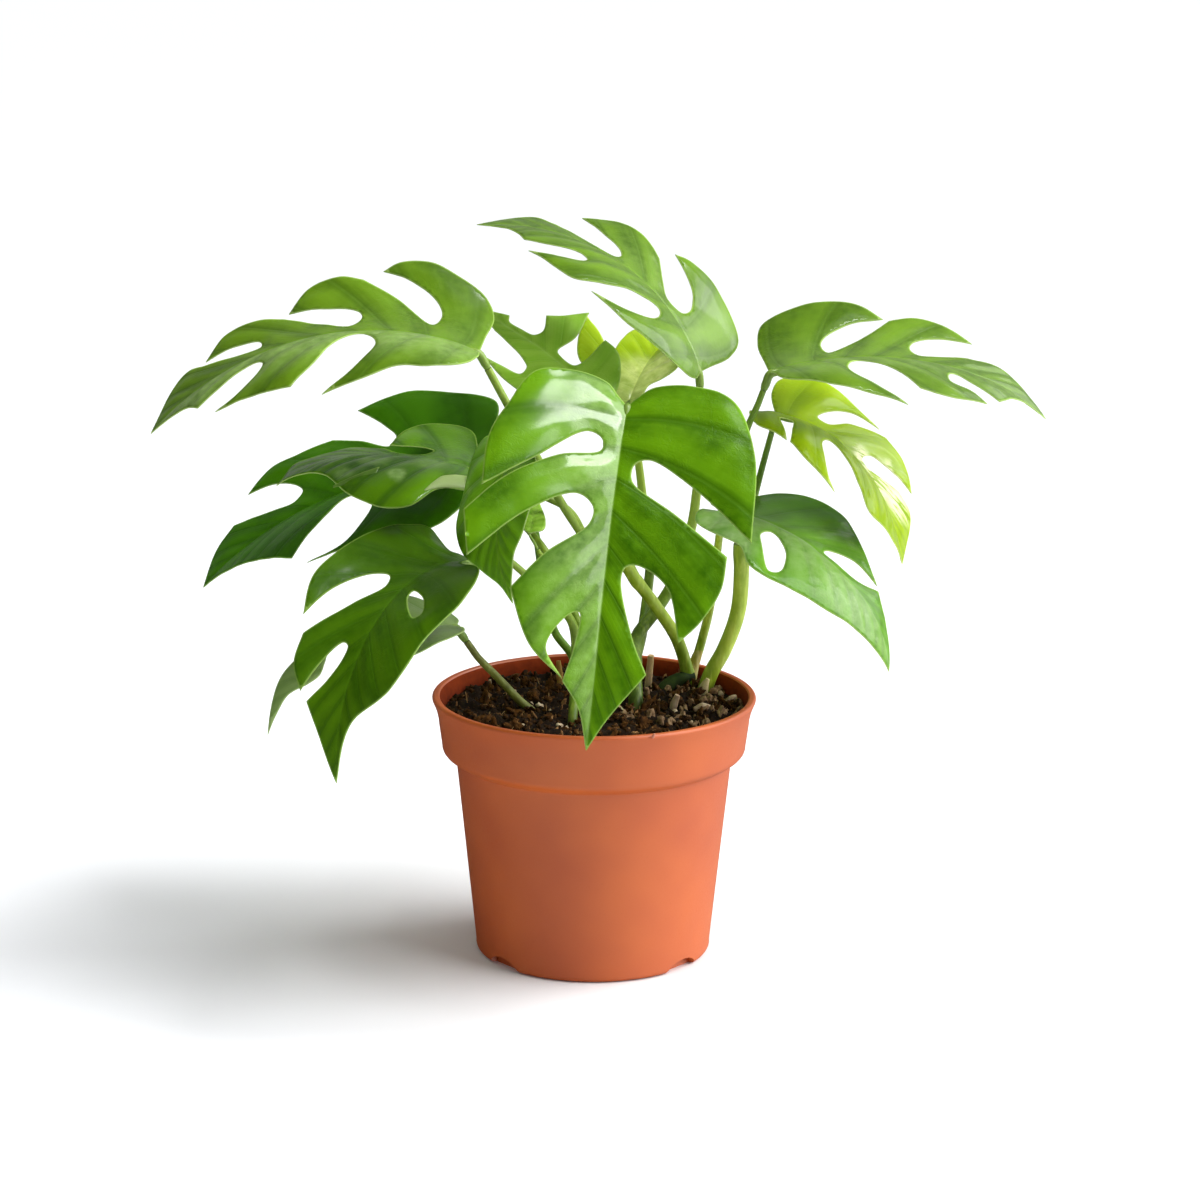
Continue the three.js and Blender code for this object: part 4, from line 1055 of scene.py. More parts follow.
def latheMesh(name, profile, sides, smooth=True):
    # turns a closed profile that starts and ends on the axis
    ring = [p for p in profile if p[0] > 1e-6]
    points = [(0, 0, profile[0][1])]
    for radius, height in ring:
        for side in range(sides):
            angle = side / sides * 2 * math.pi
            points.append((radius * math.cos(angle), radius * math.sin(angle), height))
    points.append((0, 0, profile[-1][1]))
    faces = [(0, 1 + (side + 1) % sides, 1 + side) for side in range(sides)]
    for row in range(len(ring) - 1):
        for side in range(sides):
            here, after = 1 + row * sides + side, 1 + row * sides + (side + 1) % sides
            faces.append((here, after, after + sides, here + sides))
    last = 1 + (len(ring) - 1) * sides
    faces += [(last + side, last + (side + 1) % sides, len(points) - 1) for side in range(sides)]
    return meshFrom(name, np.array(points) * mm, faces, smooth)


def potProfile():
    # from the middle of the underside, up the outside, over the lip and down the inside
    p = potLook
    inner, outer, recess = p["recess"]
    foot, body, step = p["bodyBottom"], p["bodyTop"], p["stepFoot"]
    band, bandFoot, collar, height = p["bandBottom"], p["bandFoot"], p["bandTop"], p["height"]
    bead = p["lipHeight"] / 2
    inside = [(innerRadius(z), z) for z in (height - 4, bandFoot, step, p["floorTop"])]
    return [
        (0, 0), (inner - 0.3, 0), (inner, 0.3), (inner, recess),
        (outer, recess), (outer, 0.3), (outer + 0.3, 0), (foot - 2.6, 0), (foot - 2.5, 0.3),
        *arc((foot - 2, 2.2), 2, -80, -5, 6), (foot, p["footHeight"]),
        (body - 0.12, step - 1), (body, step), (body + 0.15, step + 0.4), (body + 0.7, step + 0.9),
        (band - 2.2, bandFoot - 1.7), (band - 1.0, bandFoot - 0.8), (band - 0.35, bandFoot),
        (band - 0.05, bandFoot + 0.9), (band + 0.03, bandFoot + 2),
        (collar - 0.15, height - 11), (collar + 0.15, height - 8.2), (collar + 0.75, height - 5.6),
        (collar + 1.4, height - 3.6), *arc((p["rimRadius"] - bead, height - bead), bead, -30, 90, 12),
        (p["rimInner"] + 0.5, height - 0.1), (p["rimInner"], height - 0.6), *inside, (0, p["floorTop"]),
    ]


def potCutters():
    # drain holes through the floor, and arches through the foot's edge
    cutters = []
    count, radius, away = potLook["drains"]
    for index in range(count):
        turn = (index + 0.5) / count * 2 * math.pi
        drain = latheMesh("drain", [(0, 1), (radius, 1), (radius, 8), (0, 8)], 32, False)
        drain.transform(Matrix.Translation(Vector((away * math.cos(turn), away * math.sin(turn), 0)) * mm))
        cutters.append(drain)
    count, halfWidth, height, first, stagger = potLook["notches"]
    for index in range(count):
        arch = latheMesh("notch", [(0, -4), (1, -4), (1, 4), (0, 4)], 48, False)
        arch.transform(Matrix.Diagonal((height, halfWidth, 1, 1)))
        arch.transform(Matrix.Rotation(math.radians(90), 4, "Y"))
        arch.transform(Matrix.Translation((potLook["bodyBottom"] * mm, 0, 0)))
        turn = first + index / count * 360 + stagger * (-1) ** (index + 1)
        arch.transform(Matrix.Rotation(math.radians(turn), 4, "Z"))
        cutters.append(arch)
    return cutters


def makePot(materials):
    pot = newObject("potShell", latheMesh("potShell", potProfile(), potLook["sides"]))
    for mesh in potCutters():
        cut = pot.modifiers.new("cut", "BOOLEAN")
        cut.operation = "DIFFERENCE"
        cut.solver = "EXACT"
        cut.object = newObject("cutter", mesh)
    depsgraph = bpy.context.evaluated_depsgraph_get()
    shell = bpy.data.meshes.new_from_object(pot.evaluated_get(depsgraph))
    for cut in list(pot.modifiers):
        bpy.data.objects.remove(cut.object)
    bpy.data.objects.remove(pot)
    shell.set_sharp_from_angle(angle=math.radians(40))
    shell.materials.clear()
    for material in materials:
        shell.materials.append(material)
    for face in shell.polygons:
        centre = face.center
        outward = Vector((centre.x, centre.y, 0)).normalized()
        above = potLook["floorTop"] - 0.1 < centre.z / mm < potLook["height"] - 0.5
        face.material_index = int(above and face.normal.dot(outward) < -0.25)
    return newObject("potShell", shell)


soilLook = {
    "level": 92.6,
    "swell": 1.3,
    "gap": 0.45,
    "edge": 3,  # width of the lower ground along the pot's wall
    "drop": 1.2,  # how far that ground lies under the level
    "sides": 220,
    "rings": 58,
}


def soilHeight(x, y):
    waves = math.sin(x / 7.1 + 1.3) * math.cos(y / 6.3) + 0.7 * math.sin((x + y) / 4.7)
    waves += 0.5 * math.cos((x - 2 * y) / 8.9)
    clods = 2.2 * noise.fractal(Vector((x, y, 0)) * 0.13, 1, 2, 4)
    clods += 1.2 * noise.noise(Vector((x, y, 5)) * 0.42)
    fine = 0.5 * noise.noise(Vector((x, y, 9)) * 1.1)
    return soilLook["level"] + soilLook["swell"] * 0.6 * waves + clods + fine - 0.6


def makeSoil(material):
    look = soilLook
    top = innerRadius(look["level"]) - look["gap"]
    bottom = potLook["floorTop"] + look["gap"]
    heights = (bottom, potLook["stepFoot"], potLook["bandFoot"], look["level"] - 4)
    side = [(innerRadius(height) - look["gap"], height) for height in heights]
    ground = [(radius, look["level"]) for radius in top * np.linspace(1, 0, look["rings"] + 1)]
    mesh = latheMesh("compost", [(0, bottom)] + side + ground, look["sides"])
    low = look["level"] - look["drop"]
    for vertex in mesh.vertices:
        x, y, z = vertex.co / mm
        if z > look["level"] - 0.01:
            inward = smoothStep(0, look["edge"], np.array(top - math.hypot(x, y)))
            vertex.co.z = (low + (soilHeight(x, y) - low) * float(inward)) * mm
    mesh.materials.append(material)
    mesh.update()
    return newObject("compost", mesh)


# what lies on the soil: size, how jagged, colours (dark, light, bits), pieces for each square
# metre, the least and the greatest scale, seed, and how far from the middle they lie
gritLooks = [
    {
        "name": "peat_crumbs", "size": (1, 1, 0.8), "jagged": 1.1, "detail": 2,
        "colours": ("#0f0802", "#44290a", "#7c5a2c"),
        "density": 7e4, "scales": (0.5, 1.5), "seed": 4, "reach": 55.5,
    },
    {
        "name": "peat_lumps", "size": (1.2, 0.8, 0.7), "jagged": 1.3, "detail": 3,
        "colours": ("#140a03", "#583610", "#a07c4c"),
        "density": 1.1e4, "scales": (1.2, 2.8), "seed": 31, "reach": 54,
    },
    {
        "name": "bark_chips", "size": (2.4, 0.9, 0.55), "jagged": 0.8, "detail": 2,
        "colours": ("#4c3018", "#9a7248", "#c8a272"),
        "density": 9e3, "scales": (0.35, 1.0), "seed": 9, "reach": 54,
    },
    {
        "name": "bark_heap", "size": (2.4, 1.15, 0.75), "jagged": 0.9, "detail": 2,
        "colours": ("#553c26", "#a38666", "#d8bc98"),
        "density": 4.4e4, "scales": (0.45, 1.4), "seed": 12, "reach": 27, "middle": (37, 0, 0),
    },
    {
        "name": "root_fibres", "size": (4.0, 0.2, 0.2), "jagged": 0.4, "detail": 2,
        "colours": ("#8a683e", "#c8a878", "#e2caa0"),
        "density": 6e3, "scales": (0.4, 1.1), "seed": 15, "reach": 51,
    },
    {
        "name": "perlite", "size": (1.1, 0.85, 0.8), "jagged": 0.7, "detail": 2,
        "colours": ("#b0987a", "#dcc8ac", "#f2e6d4"),
        "density": 3.4e3, "scales": (0.5, 1.35), "seed": 22, "reach": 54,
    },
]
gritShapes = 5  # how many shapes each kind of grit has


def lumpMesh(look, seed, kind):
    # a small irregular stone, crumb or chip, each kind a little wider and flatter
    width, depth, height = look["size"]
    size = (width, depth * (0.8 + 0.1 * kind), height * (1.1 - 0.1 * kind))
    lump = bmesh.new()
    bmesh.ops.create_icosphere(lump, subdivisions=look["detail"], radius=1)
    for vertex in lump.verts:
        swell = 1 + look["jagged"] * noise.noise(vertex.co * 1.7 + Vector((seed * 3.1, 0, 0)))
        vertex.co = Vector([v * s for v, s in zip(vertex.co, size)]) * swell * mm
    mesh = bpy.data.meshes.new(look["name"])
    lump.to_mesh(mesh)
    lump.free()
    mesh.polygons.foreach_set("use_smooth", [True] * len(mesh.polygons))
    return mesh


def scatterOn(ground, look, shapes, material):
    # grit lying on the soil: points on its faces, a random shape on each
    name = look["name"]
    stock = bpy.data.collections.new(name + "_shapes")
    for index, mesh in enumerate(shapes):
        stock.objects.link(bpy.data.objects.new(f"{name}_{index}", mesh))
    least, most = look["scales"]
    settings = {
        "Density": ("Float", look["density"]),
        "Smallest": ("Float", least),
        "Largest": ("Float", most),
        "Seed": ("Int", look["seed"]),
        "Reach": ("Float", look["reach"] * mm),
        "Middle": ("Vector", tuple(v * mm for v in look.get("middle", (0, 0, 0)))),
    }
    tree = bpy.data.node_groups.new(name, "GeometryNodeTree")
    tree.interface.new_socket("Ground", in_out="INPUT", socket_type="NodeSocketGeometry")
    sockets = {label: tree.interface.new_socket(label, in_out="INPUT", socket_type="NodeSocket" + kind)
               for label, (kind, _) in settings.items()}
    tree.interface.new_socket("Grit", in_out="OUTPUT", socket_type="NodeSocketGeometry")
    given = addNode(tree, "NodeGroupInput").outputs
    x, y, z = addNode(tree, "SeparateXYZ", [addNode(tree, "GeometryNodeInputPosition")]).outputs
    flat = addNode(tree, "CombineXYZ", [x, y])
    away = addNode(tree, "VectorMath", [flat, given["Middle"]], operation="DISTANCE")
    near = addNode(tree, "FunctionNodeCompare", [away, given["Reach"]], operation="LESS_THAN")
    high = addNode(tree, "FunctionNodeCompare", [z, (soilLook["level"] - 4) * mm], operation="GREATER_THAN")
    onTop = addNode(tree, "FunctionNodeBooleanMath", [near, high], operation="AND")
    spots = addNode(tree, "GeometryNodeDistributePointsOnFaces", {
        "Mesh": given["Ground"], "Selection": onTop, "Density": given["Density"], "Seed": given["Seed"]})
    kinds = addNode(tree, "GeometryNodeCollectionInfo", {
        "Collection": stock, "Separate Children": True, "Reset Children": True})
    turn = addNode(tree, "FunctionNodeRandomValue", data_type="FLOAT_VECTOR", inputs={
        "Max": (6.28, 6.28, 6.28), "Seed": given["Seed"]})
    size = addNode(tree, "FunctionNodeRandomValue", data_type="FLOAT", inputs={
        "Min": given["Smallest"], "Max": given["Largest"], "Seed": 3})
    strewn = addNode(tree, "GeometryNodeInstanceOnPoints", {
        "Points": spots, "Instance": kinds, "Pick Instance": True, "Rotation": turn, "Scale": size})
    real = addNode(tree, "GeometryNodeRealizeInstances", [strewn])
    painted = addNode(tree, "GeometryNodeSetMaterial", {"Geometry": real, "Material": material})
    addNode(tree, "NodeGroupOutput", [painted])
    source = newObject(name + "_ground", ground.data.copy())
    modifier = source.modifiers.new("scatter", "NODES")
    modifier.node_group = tree
    for label, (_, value) in settings.items():
        modifier[sockets[label].identifier] = value
    piece = bakeNodes(source, name)
    for item in list(stock.objects):
        bpy.data.objects.remove(item)
    bpy.data.collections.remove(stock)
    return piece


def leafMaterial(name, look):
    # the skin of a living leaf: waxy, with paler veins, midrib and margin
    material, tree = newMaterial(name)
    place = addNode(tree, "TexCoord").outputs["Object"]
    plan = addNode(tree, "Attribute", attribute_name="leafPlan").outputs["Vector"]
    phase, reach, margin = addNode(tree, "SeparateXYZ", [plan]).outputs
    pale, paintedSheen, shine = [
        addNode(tree, "Attribute", attribute_name=label).outputs["Fac"]
        for label in ("pale", "paintedSheen", "shine")]
    broad, mottle, cells, patchy = [
        addNode(tree, "TexNoise", {"Vector": place, "Scale": perMm / mm, "Detail": detail, "Roughness": 0.55})
        for perMm, detail in ((0.03, 2), (0.28, 4), (2.2, 2), (0.07, 2))]

    # painted light and shade: light and dark bands follow the lateral veins, lighter on one side of each puff
    # between two veins and darker on the other; broad random patches of tone add to them
    turns = addNode(tree, "Math", [broad, 1.2, phase], operation="MULTIPLY_ADD")
    wave = addNode(tree, "Math", [turns, 2 * math.pi], operation="MULTIPLY")
    paintedPuffLight = addNode(tree, "MapRange", [addNode(tree, "Math", [wave], operation="SINE"), -1, 1, 0, 0.45])
    patches = addNode(tree, "MapRange", [broad, 0.35, 0.65, 0, 0.55])
    tone = addNode(tree, "Math", [paintedPuffLight, patches], operation="ADD")

    # from the nearest lateral vein and from the nearest of six finer ones between two of them
    toVein = addNode(tree, "Math", [phase, 0.5], operation="PINGPONG")
    finer = addNode(tree, "Math", [phase, 6], operation="MULTIPLY")
    toFineVein = addNode(tree, "Math", [finer, 0.5], operation="PINGPONG")
    veins = addNode(tree, "MapRange", [toVein, 0.012, 0.05, 1, 0])
    fineVeins = addNode(tree, "MapRange", [toFineVein, 0.05, 0.3, 1, 0])

    # cream streaks run along the veins
    across = addNode(tree, "Math", [reach, 0.09], operation="MULTIPLY")
    along = addNode(tree, "Math", [phase, 2], operation="MULTIPLY")
    alongVeins = addNode(tree, "CombineXYZ", [along, across])
    streaks = addNode(tree, "TexNoise", {"Vector": alongVeins, "Scale": 1.3, "Detail": 4, "Roughness": 0.6})
    streaks = addNode(tree, "MapRange", [streaks, 0.43, 0.52])
    cream = addNode(tree, "Math", [pale, streaks], operation="MULTIPLY")
    # painted sheen: a pale green mixed into the colour in cloudy patches, standing in for the wax's reflection
    cloudy = addNode(tree, "MapRange", [mottle, 0.3, 0.7, 0.5, 1.3])
    sheenCover = addNode(tree, "Math", [paintedSheen, cloudy], operation="MULTIPLY")

    colour = layCoats(tree, look["dark"], [
        (look["light"], tone),
        (look["light"], mottle, 0.3, 0.7, 0, 0.35),
        # painted shade: the blade darkens next to each lateral vein, where the creases lie in shade
        (look["dark"], toVein, 0.02, 0.16, look["veinShade"], 0),
        (look["vein"], veins, 0, 1, 0, look["veins"]),
        (look["vein"], fineVeins, 0, 1, 0, look["veins"] * 0.3),
        (look["vein"], reach, 0.35, 0.95, look["rib"], 0),
        (look["margin"], margin, 0.2, 0.55, look["edge"], 0),
        (look["paintedSheen"], sheenCover),
        (look["cream"], cream),
        (look["dark"], cells, 0.3, 0.7, 0, 0.12),
    ])

    # veins and cells in relief, and fine creases in patches, like skin that has shrunk a little
    relief = addNode(tree, "Math", [cells, 0.08], operation="MULTIPLY")
    relief = addNode(tree, "Math", [veins, look["veinRelief"], relief], operation="MULTIPLY_ADD")
    relief = addNode(tree, "Math", [fineVeins, 0.25 * look["veinRelief"], relief], operation="MULTIPLY_ADD")
    folds = addNode(tree, "TexNoise", {
        "Vector": place, "Scale": 0.35 / mm, "Detail": 3, "Roughness": 0.6, "Distortion": 0.6})
    offFold = addNode(tree, "Math", [folds, 0.5], operation="SUBTRACT")
    offFold = addNode(tree, "Math", [offFold], operation="ABSOLUTE")
    creases = addNode(tree, "MapRange", [offFold, 0, 0.12, 1, 0])
    creased = addNode(tree, "MapRange", [patchy, 0.42, 0.62, 0, look["creases"]])
    creases = addNode(tree, "Math", [creases, creased], operation="MULTIPLY")
    relief = addNode(tree, "Math", [relief, creases], operation="SUBTRACT")

    # the very margin is dull and has no wax
    rough = addNode(tree, "MapRange", [mottle, 0.3, 0.7, look["roughness"] - 0.05, look["roughness"] + 0.06])
    dull = addNode(tree, "MapRange", [margin, 0.4, 1.4, 0.3, 0])
    wax = addNode(tree, "MapRange", [margin, 0.4, 1.4, 0, look["wax"]])
    return finishMaterial(material, {
        "Base Color": colour,
        "Roughness": addNode(tree, "Math", [rough, dull], operation="ADD"),
        "Normal": addNode(tree, "Bump", {"Height": relief, "Strength": look["bump"], "Distance": 0.12 * mm}),
        "Subsurface Weight": 0.15,
        "Subsurface Radius": (0.6, 1.0, 0.25),
        "Subsurface Scale": 1.2 * mm,
        "Specular IOR Level": look["gloss"],
        "Coat Weight": addNode(tree, "Math", [wax, shine], operation="MULTIPLY"),
        "Coat Roughness": 0.13,
        "Coat IOR": 1.5,
    })


def stalkMaterial(name, look, upperPart=None):
    # a smooth green stem with long pale streaks, brown with earth at its foot
    material, tree = newMaterial(name)
    place = addNode(tree, "TexCoord").outputs["Object"]
    stretched = addNode(tree, "VectorMath", [place, (1, 1, 0.22)], operation="MULTIPLY")
    streaks, clouds, flecks = [
        addNode(tree, "TexNoise", {"Vector": at, "Scale": perMm / mm, "Detail": detail, "Roughness": 0.55})
        for at, perMm, detail in ((stretched, 0.5, 3), (place, 0.05, 2), (place, 1.6, 2))]
    height = addNode(tree, "SeparateXYZ", [place]).outputs["Z"]
    dark, light, streak, fleck = look["colours"]
    coats = [
        (light, clouds, 0.35, 0.65),
        (streak, streaks, 0.45, 0.7, 0, 0.5),
        (fleck, flecks, 0.62, 0.75, 0, 0.5),
    ]
    if upperPart:
        low, high = upperPart["between"]
        coats.append((upperPart["colour"], height, low * mm, high * mm, 0, upperPart["share"]))
    coats.append(("#241a10", height, 91 * mm, 97 * mm, look["soiled"], 0))
    return finishMaterial(material, {
        "Base Color": layCoats(tree, dark, coats),
        "Roughness": look["roughness"],
        "Normal": addNode(tree, "Bump", {"Height": streaks, "Strength": 0.25, "Distance": 0.2 * mm}),
        "Subsurface Weight": 0.1,
        "Subsurface Radius": (0.6, 1.0, 0.3),
        "Subsurface Scale": 1.0 * mm,
    })


def potMaterial():
    # terracotta-coloured polypropylene, moulded: an even colour with faint clouds, satin
    material, tree = newMaterial("terracottaPlastic")
    place = addNode(tree, "TexCoord").outputs["Object"]
    clouds, specks, grain = [
        addNode(tree, "TexNoise", {"Vector": place, "Scale": perMm / mm, "Detail": detail, "Roughness": 0.55})
        for perMm, detail in ((0.025, 2), (1.4, 3), (3, 2))]
    return finishMaterial(material, {
        "Base Color": layCoats(tree, "#b84f15", [
            ("#c75d19", clouds, 0.3, 0.7),
            ("#9c4c2c", specks, 0.66, 0.76, 0, 0.25),
        ]),
        "Roughness": addNode(tree, "MapRange", [specks, 0.3, 0.7, 0.46, 0.54]),
        "Normal": addNode(tree, "Bump", {"Height": grain, "Strength": 0.12, "Distance": 0.05 * mm}),
        "Specular IOR Level": 0.8,
    })


def insideMaterial():
    # the same plastic inside the pot, dull; its darker colour, and the blotchy darkening that deepens towards
    # the soil, are painted shade
    material, tree = newMaterial("terracottaPlasticInside")
    place = addNode(tree, "TexCoord").outputs["Object"]
    height = addNode(tree, "SeparateXYZ", [place]).outputs["Z"]
    low = addNode(tree, "MapRange", [height, 91 * mm, 97.4 * mm, 0.95, 0.55])
    shadeBlotches = addNode(tree, "TexNoise", {"Vector": place, "Scale": 0.3 / mm, "Detail": 4, "Roughness": 0.55})
    shadeBlotches = addNode(tree, "MapRange", [shadeBlotches, 0.35, 0.65, 0.65, 1])
    paintedShade = addNode(tree, "Math", [low, shadeBlotches], operation="MULTIPLY")
    colour = layCoats(tree, "#9c3c14", [("#571d0a", paintedShade)])
    return finishMaterial(material, {"Base Color": colour, "Roughness": 0.95, "Specular IOR Level": 0.12})


def earthMaterial(name, dark, light, bit):
    # peat, bark or perlite: rough and uneven
    material, tree = newMaterial(name)
    place = addNode(tree, "TexCoord").outputs["Object"]
    clumps, bits = [
        addNode(tree, "TexNoise", {
            "Vector": place, "Scale": perMm / mm, "Detail": detail, "Roughness": rough})
        for perMm, detail, rough in ((0.35, 5, 0.7), (1.1, 3, 0.6))]
    return finishMaterial(material, {
        "Base Color": layCoats(tree, dark, [(light, clumps, 0.35, 0.65), (bit, bits, 0.62, 0.72, 0, 0.7)]),
        "Roughness": 0.95,
        "Specular IOR Level": 0.15,
        "Normal": addNode(tree, "Bump", {"Height": clumps, "Strength": 0.7, "Distance": 0.6 * mm}),
    })


def floorMaterial():
    # matt white paper
    material, _ = newMaterial("whitePaper")
    return finishMaterial(material, {"Base Color": hexColour("#f6f8fb"), "Roughness": 0.9})


# a leaf's skin: colours are dark, light, vein; what isn't given comes from the finish
# sunLeaf, shadeLeaf, darkLeaf and dimLeaf are copies of one leaf green, each set to how its leaves look in the
# light or shade where they sit: painted light and shade
leafSkins = {
    "leaf": {
        "upper": ("#2d5600", "#649606", "#7aa82a"), "under": ("#7c9a4e", "#92ae62", "#b3c98c"),
        "margin": "#b4d070", "finish": {"creases": 1.0, "bump": 0.55, "veinShade": 0.7, "gloss": 0.06},
    },
    "sunLeaf": {
        "upper": ("#365605", "#678d16", "#80a83c"), "under": ("#849f56", "#99b46a", "#b8cc90"),
        "margin": "#bcd67c", "finish": {"wax": 0.5},
    },
    "freshLeaf": {
        "upper": ("#407006", "#5f9612", "#70a03a"), "under": ("#849f56", "#99b46a", "#b8cc90"),
        "margin": "#bcd67c", "finish": {"wax": 0.35, "veinRelief": -0.5, "paintedSheen": "#acc08c"},
    },
    "shadeLeaf": {
        "upper": ("#2b5000", "#4a7202", "#5e8e1a"), "under": ("#5f7f3c", "#76964e", "#9db878"),
        "margin": "#accb66", "finish": {"wax": 0.25, "rib": 0.14}, "slot": "leaf_dark",
    },
    "darkLeaf": {
        "upper": ("#2a5a00", "#447c02", "#4c7a18"), "under": ("#5f7f3c", "#76964e", "#9db878"),
        "margin": "#a4c468", "finish": {"wax": 0.25}, "slot": "leaf_dark",
    },
    "paleLeaf": {
        "upper": ("#7bab28", "#99c246", "#a8cc62"), "under": ("#84a050", "#98b266", "#b8cc90"),
        "margin": "#c4d888", "finish": {"wax": 0.4},
    },
    "dustyLeaf": {
        "upper": ("#678440", "#809858", "#92ac6c"), "under": ("#768e50", "#8aa062", "#a4b67e"),
        "margin": "#b4c888", "finish": {"wax": 0.2},
    },
    "dimLeaf": {
        "upper": ("#4e8008", "#7db81a", "#8cb444"), "under": ("#849f56", "#99b46a", "#b8cc90"),
        "margin": "#bcd67c", "finish": {"wax": 0.5},
    },
    "limeLeaf": {
        "upper": ("#80a000", "#9cb806", "#b4cc34"), "under": ("#a9c05e", "#bccf74", "#d0de9c"),
        "margin": "#d8e694", "finish": {"wax": 0.35, "paintedSheen": "#eef4a4"}, "slot": "leaf_lime",
    },
}
# paintedSheen is the pale colour of the painted sheen, a reflection mixed into the skin
upperFinish = {
    "veins": 0.08, "veinShade": 0.5, "rib": 0.28, "edge": 0.4, "veinRelief": -1.0, "bump": 0.5, "creases": 0.7,
    "roughness": 0.34, "wax": 0.75, "gloss": 0.1, "paintedSheen": "#b0d080", "cream": "#f0efc4",
}
underFinish = {
    "veins": 0.5, "veinShade": 0.0, "rib": 0.8, "edge": 0.35, "veinRelief": 1.2, "bump": 0.5, "creases": 0.4,
    "roughness": 0.5, "wax": 0.15, "gloss": 0.2, "paintedSheen": "#b0d080", "cream": "#f0efc4",
}

# a stalk's skin: colours are dark, light, streak, fleck; soiled is the share of earth at the foot
stalkSkins = {
    "knee": {"colours": ("#5e7c24", "#7a9838", "#92aa50", "#647c2a"), "soiled": 0.0, "roughness": 0.4},
    # sunStem and bowStem are a lighter copy of the stem green: painted light on the stems in the softbox's
    # light
    "sunStem": {"colours": ("#7f9c1c", "#b2ca38", "#d4e264", "#6c7420"), "soiled": 0.6, "roughness": 0.38},
    "bowStem": {"colours": ("#7f9c1c", "#b2ca38", "#d4e264", "#6c7420"), "soiled": 0.6, "roughness": 0.38},
    "stem": {"colours": ("#4a6810", "#769426", "#a0b842", "#48561a"), "soiled": 0.7, "roughness": 0.42},
    "reedStem": {"colours": ("#455f0e", "#6e8b22", "#a0b842", "#48561a"), "soiled": 0.7, "roughness": 0.42},
    "dullStem": {"colours": ("#5c5f18", "#828834", "#9aa84e", "#4a4e1e"), "soiled": 0.4, "roughness": 0.5},
    "darkStem": {"colours": ("#53801b", "#73a22a", "#9ac042", "#343f14"), "soiled": 0.7, "roughness": 0.45},
    # the dry stub's pale tan is made paler still: painted light on a stub that stands in shade
    "dryStem": {"colours": ("#dcb076", "#f7d09c", "#ffe4b9", "#8a6238"), "soiled": 0.4, "roughness": 0.85},
}
extraSkins = {
    "rhizomeBark": {"colours": ("#1c3004", "#344a0a", "#425a14", "#2a2412"), "soiled": 0.45, "roughness": 0.9},
    "drySheath": {"colours": ("#9a8a3a", "#ccc070", "#dcd296", "#7c5a2e"), "soiled": 0.2, "roughness": 0.8},
    "dryBark": {"colours": ("#8a6424", "#b88e40", "#cfa468", "#6c4420"), "soiled": 0.2, "roughness": 0.85},
    "paleRoot": {"colours": ("#b9a572", "#dccf9e", "#eee6c2", "#80683c"), "soiled": 0.3, "roughness": 0.7},
    "paleChip": {"colours": ("#a08468", "#d2b898", "#e6d2ba", "#6a4c30"), "soiled": 0.35, "roughness": 0.85},
    "pinkNub": {"colours": ("#b0664c", "#c88468", "#d89c82", "#a86048"), "soiled": 0.0, "roughness": 0.6},
}
# these stalks turn to another colour between two heights
upperParts = {
    "bowStem": {"share": 0.85, "colour": "#5e8226", "between": (150, 166)},
    "stem": {"share": 0.3, "colour": "#a0b842", "between": (118, 145)},
    # on stem_middle the lighter yellow-green above 134 mm is painted light on its lit upper part, the part
    # below left as in shade
    "reedStem": {"share": 0.8, "colour": "#a6c240", "between": (134, 146)},
}
stalkSlots = {"darkStem": "stem_dark", "dryStem": "stem_dry"}
extraSlots = {"rhizomeBark": "stem_dark"}


def leafSkin(tone):
    look = leafSkins[tone]
    skin = []
    for side, finish in (("upper", {**upperFinish, **look["finish"]}), ("under", underFinish)):
        colours = dict(zip(("dark", "light", "vein"), look[side]), margin=look["margin"])
        skin.append(leafMaterial(tone + side.capitalize(), {**finish, **colours}))
    return skin


def leafNamed(name):
    return next(leaf for leaf in leaves if leaf["name"] == name)


def leafSlot(leaf):
    return leafSkins[leaf["skin"]].get("slot", "leaf_green")


def carry(piece, slot, *nodes):
    # the whole plant is one body
    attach(piece, "root")
    if nodes:
        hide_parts(*nodes)


makeCamera(cameraLook)

skins = {tone: leafSkin(tone) for tone in leafSkins}
stalkPaints = {}
for tone, look in stalkSkins.items():
    stalkPaints[tone] = stalkMaterial(tone + "Skin", look, upperParts.get(tone))
extraPaints = {tone: stalkMaterial(tone, look) for tone, look in extraSkins.items()}
plastics = [potMaterial(), insideMaterial()]
peat = earthMaterial("peatCompost", "#0b0603", "#26170a", "#7a5a38")
report("materials made")

carry(makePot(plastics), "pot_plastic", "pot")
report("pot made")

soil = makeSoil(peat)
carry(soil, "compost", "soil")
for number, look in enumerate(gritLooks):
    shapes = [lumpMesh(look, kind + 7 * number, kind) for kind in range(gritShapes)]
    paint = earthMaterial(look["name"] + "Surface", *look["colours"])
    carry(scatterOn(soil, look, shapes, paint), "compost")
report("soil made")

for index, leaf in enumerate(leaves):
    blade = newObject(leaf["name"] + "_blade", makeBlade(leaf, skins[leaf["skin"]], index))
    carry(blade, leafSlot(leaf), leaf["name"])
report("leaves made")

for stem in stems:
    sweep = makeStem(stem, stalkPaints[stem["skin"]])
    carry(sweep, stalkSlots.get(stem["skin"], "stem_green"), stem["name"])
report("stems made")

knees = [kneeSpline(leaf) for leaf in leaves]
carry(makeSweep("leaf_knees", knees, stalkLook["sides"], stalkPaints["knee"]), "stem_green")
report("knees made")

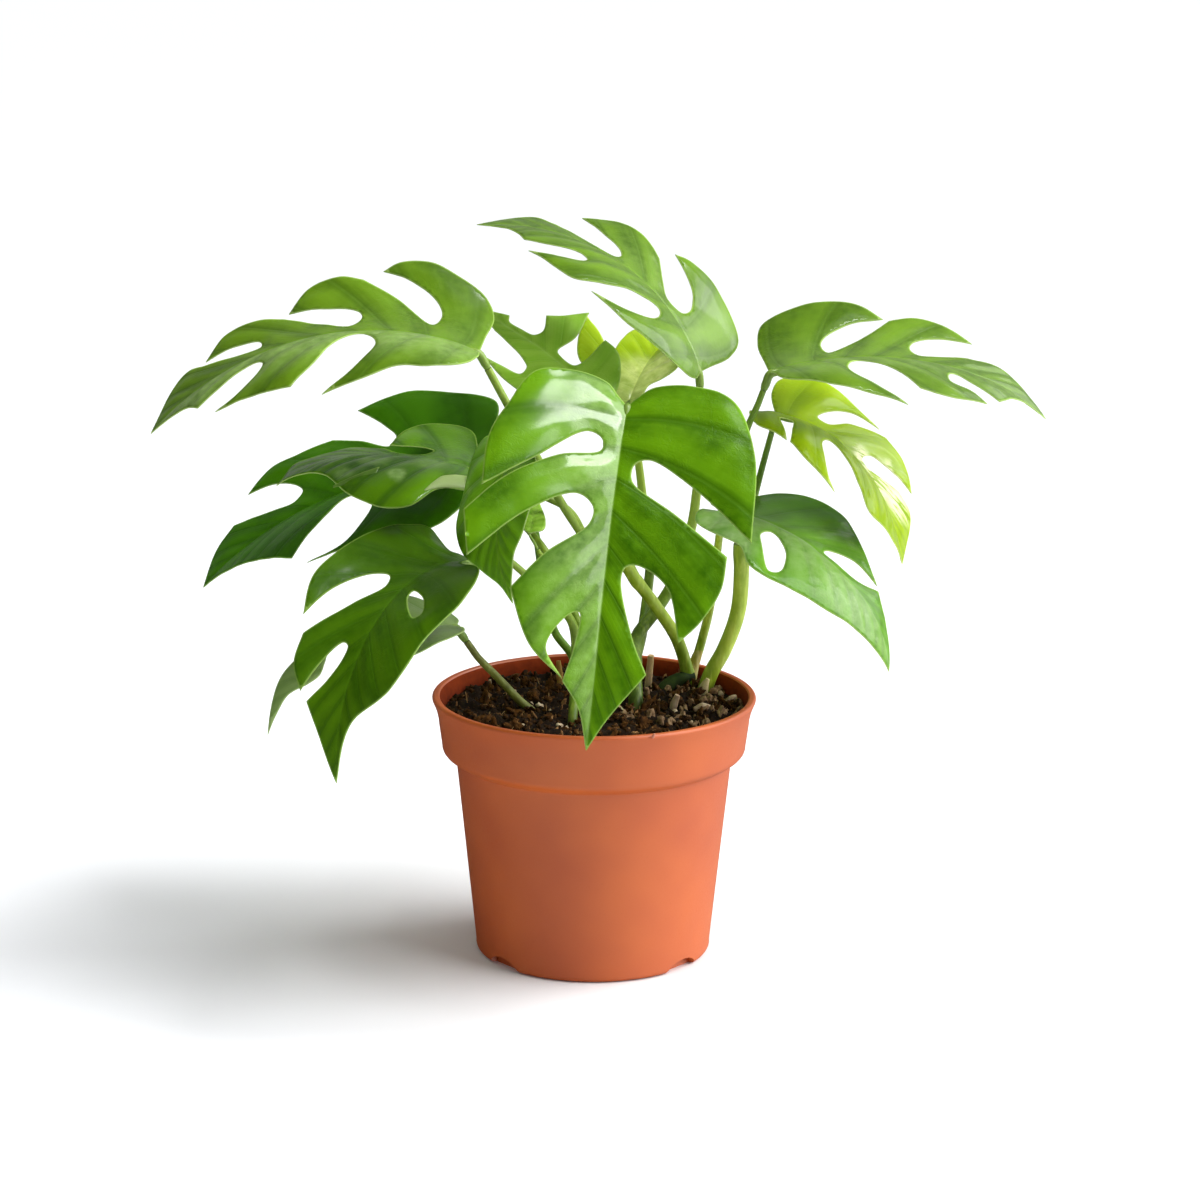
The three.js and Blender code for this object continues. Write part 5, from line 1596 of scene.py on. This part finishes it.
for extra in extras:
    carry(makeExtra(extra, extraPaints[extra["skin"]]), extraSlots.get(extra["skin"], "stem_dry"))
for flap in flaps:
    leaf = leafNamed(flap["leaf"])
    carry(newObject(flap["name"], makeFlap(leaf, flap, skins[leaf["skin"]])), leafSlot(leaf))
report("extras made")

# the studio: one very large softbox on the right, a dim room in front and a lit wall behind;
# places and sizes are in metres
studio = {"front": 0.02, "back": 0.25, "paper": 1.0, "floor": (-9, 9, -9, 12)}
suns = [
    {"name": "softbox", "power": 4.2, "width": 66, "azimuth": 84, "elevation": 35},
    {"name": "fill", "power": 1.0, "width": 130, "azimuth": -35, "elevation": 60},
]
lamps = [
    {"name": "topBox", "place": (0.341, 0.03, 1.14), "size": (0.36, 0.36), "power": 6},
    {"name": "backBox", "place": (0.8, 0.63, 0.58), "size": (0.6, 0.6), "power": 1.6},
]
lampTarget = (0, 0, 0.2)

left, right, front, back = studio["floor"]
corners = [(left, front, 0), (right, front, 0), (right, back, 0), (left, back, 0)]
floor = newObject("paperFloor", meshFrom("paperFloor", corners, [(0, 1, 2, 3)]))
floor.data.materials.append(floorMaterial())
floor.visible_glossy = False  # the studio behind the paper is dark, so leaves mirror only the lamps

# the lit wall stands behind the plant and to its right
world = bpy.data.worlds.new("softRoom")
scene.world = world
world.use_nodes = True
room = world.node_tree
direction = addNode(room, "TexCoord").outputs["Generated"]
toBack = addNode(room, "VectorMath", [direction, (0.6, 0.8, 0)], operation="DOT_PRODUCT")
walls = addNode(room, "MapRange", [toBack, -0.2, 0.8, studio["front"], studio["back"]])
# below the horizon only mirrors see it: the sunlit paper on the right
toRight, _, upwards = addNode(room, "SeparateXYZ", [direction]).outputs
paper = addNode(room, "MapRange", [toRight, 0.1, 0.8, studio["front"], studio["paper"]])
below = addNode(room, "MapRange", [upwards, -0.06, 0, 1, 0])
shade = addNode(room, "Mix", [below, walls, paper])
grey = addNode(room, "CombineXYZ", [shade, shade, shade])
room.links.new(grey.outputs[0], room.nodes["Background"].inputs["Color"])

for look in suns:
    sun = makeSun(look)
    sun.visible_glossy = look["name"] != "fill"  # the fill comes from all the walls, so no leaf mirrors it
for look in lamps:
    makeLamp(look, lampTarget)
scene.view_settings.view_transform = "Standard"
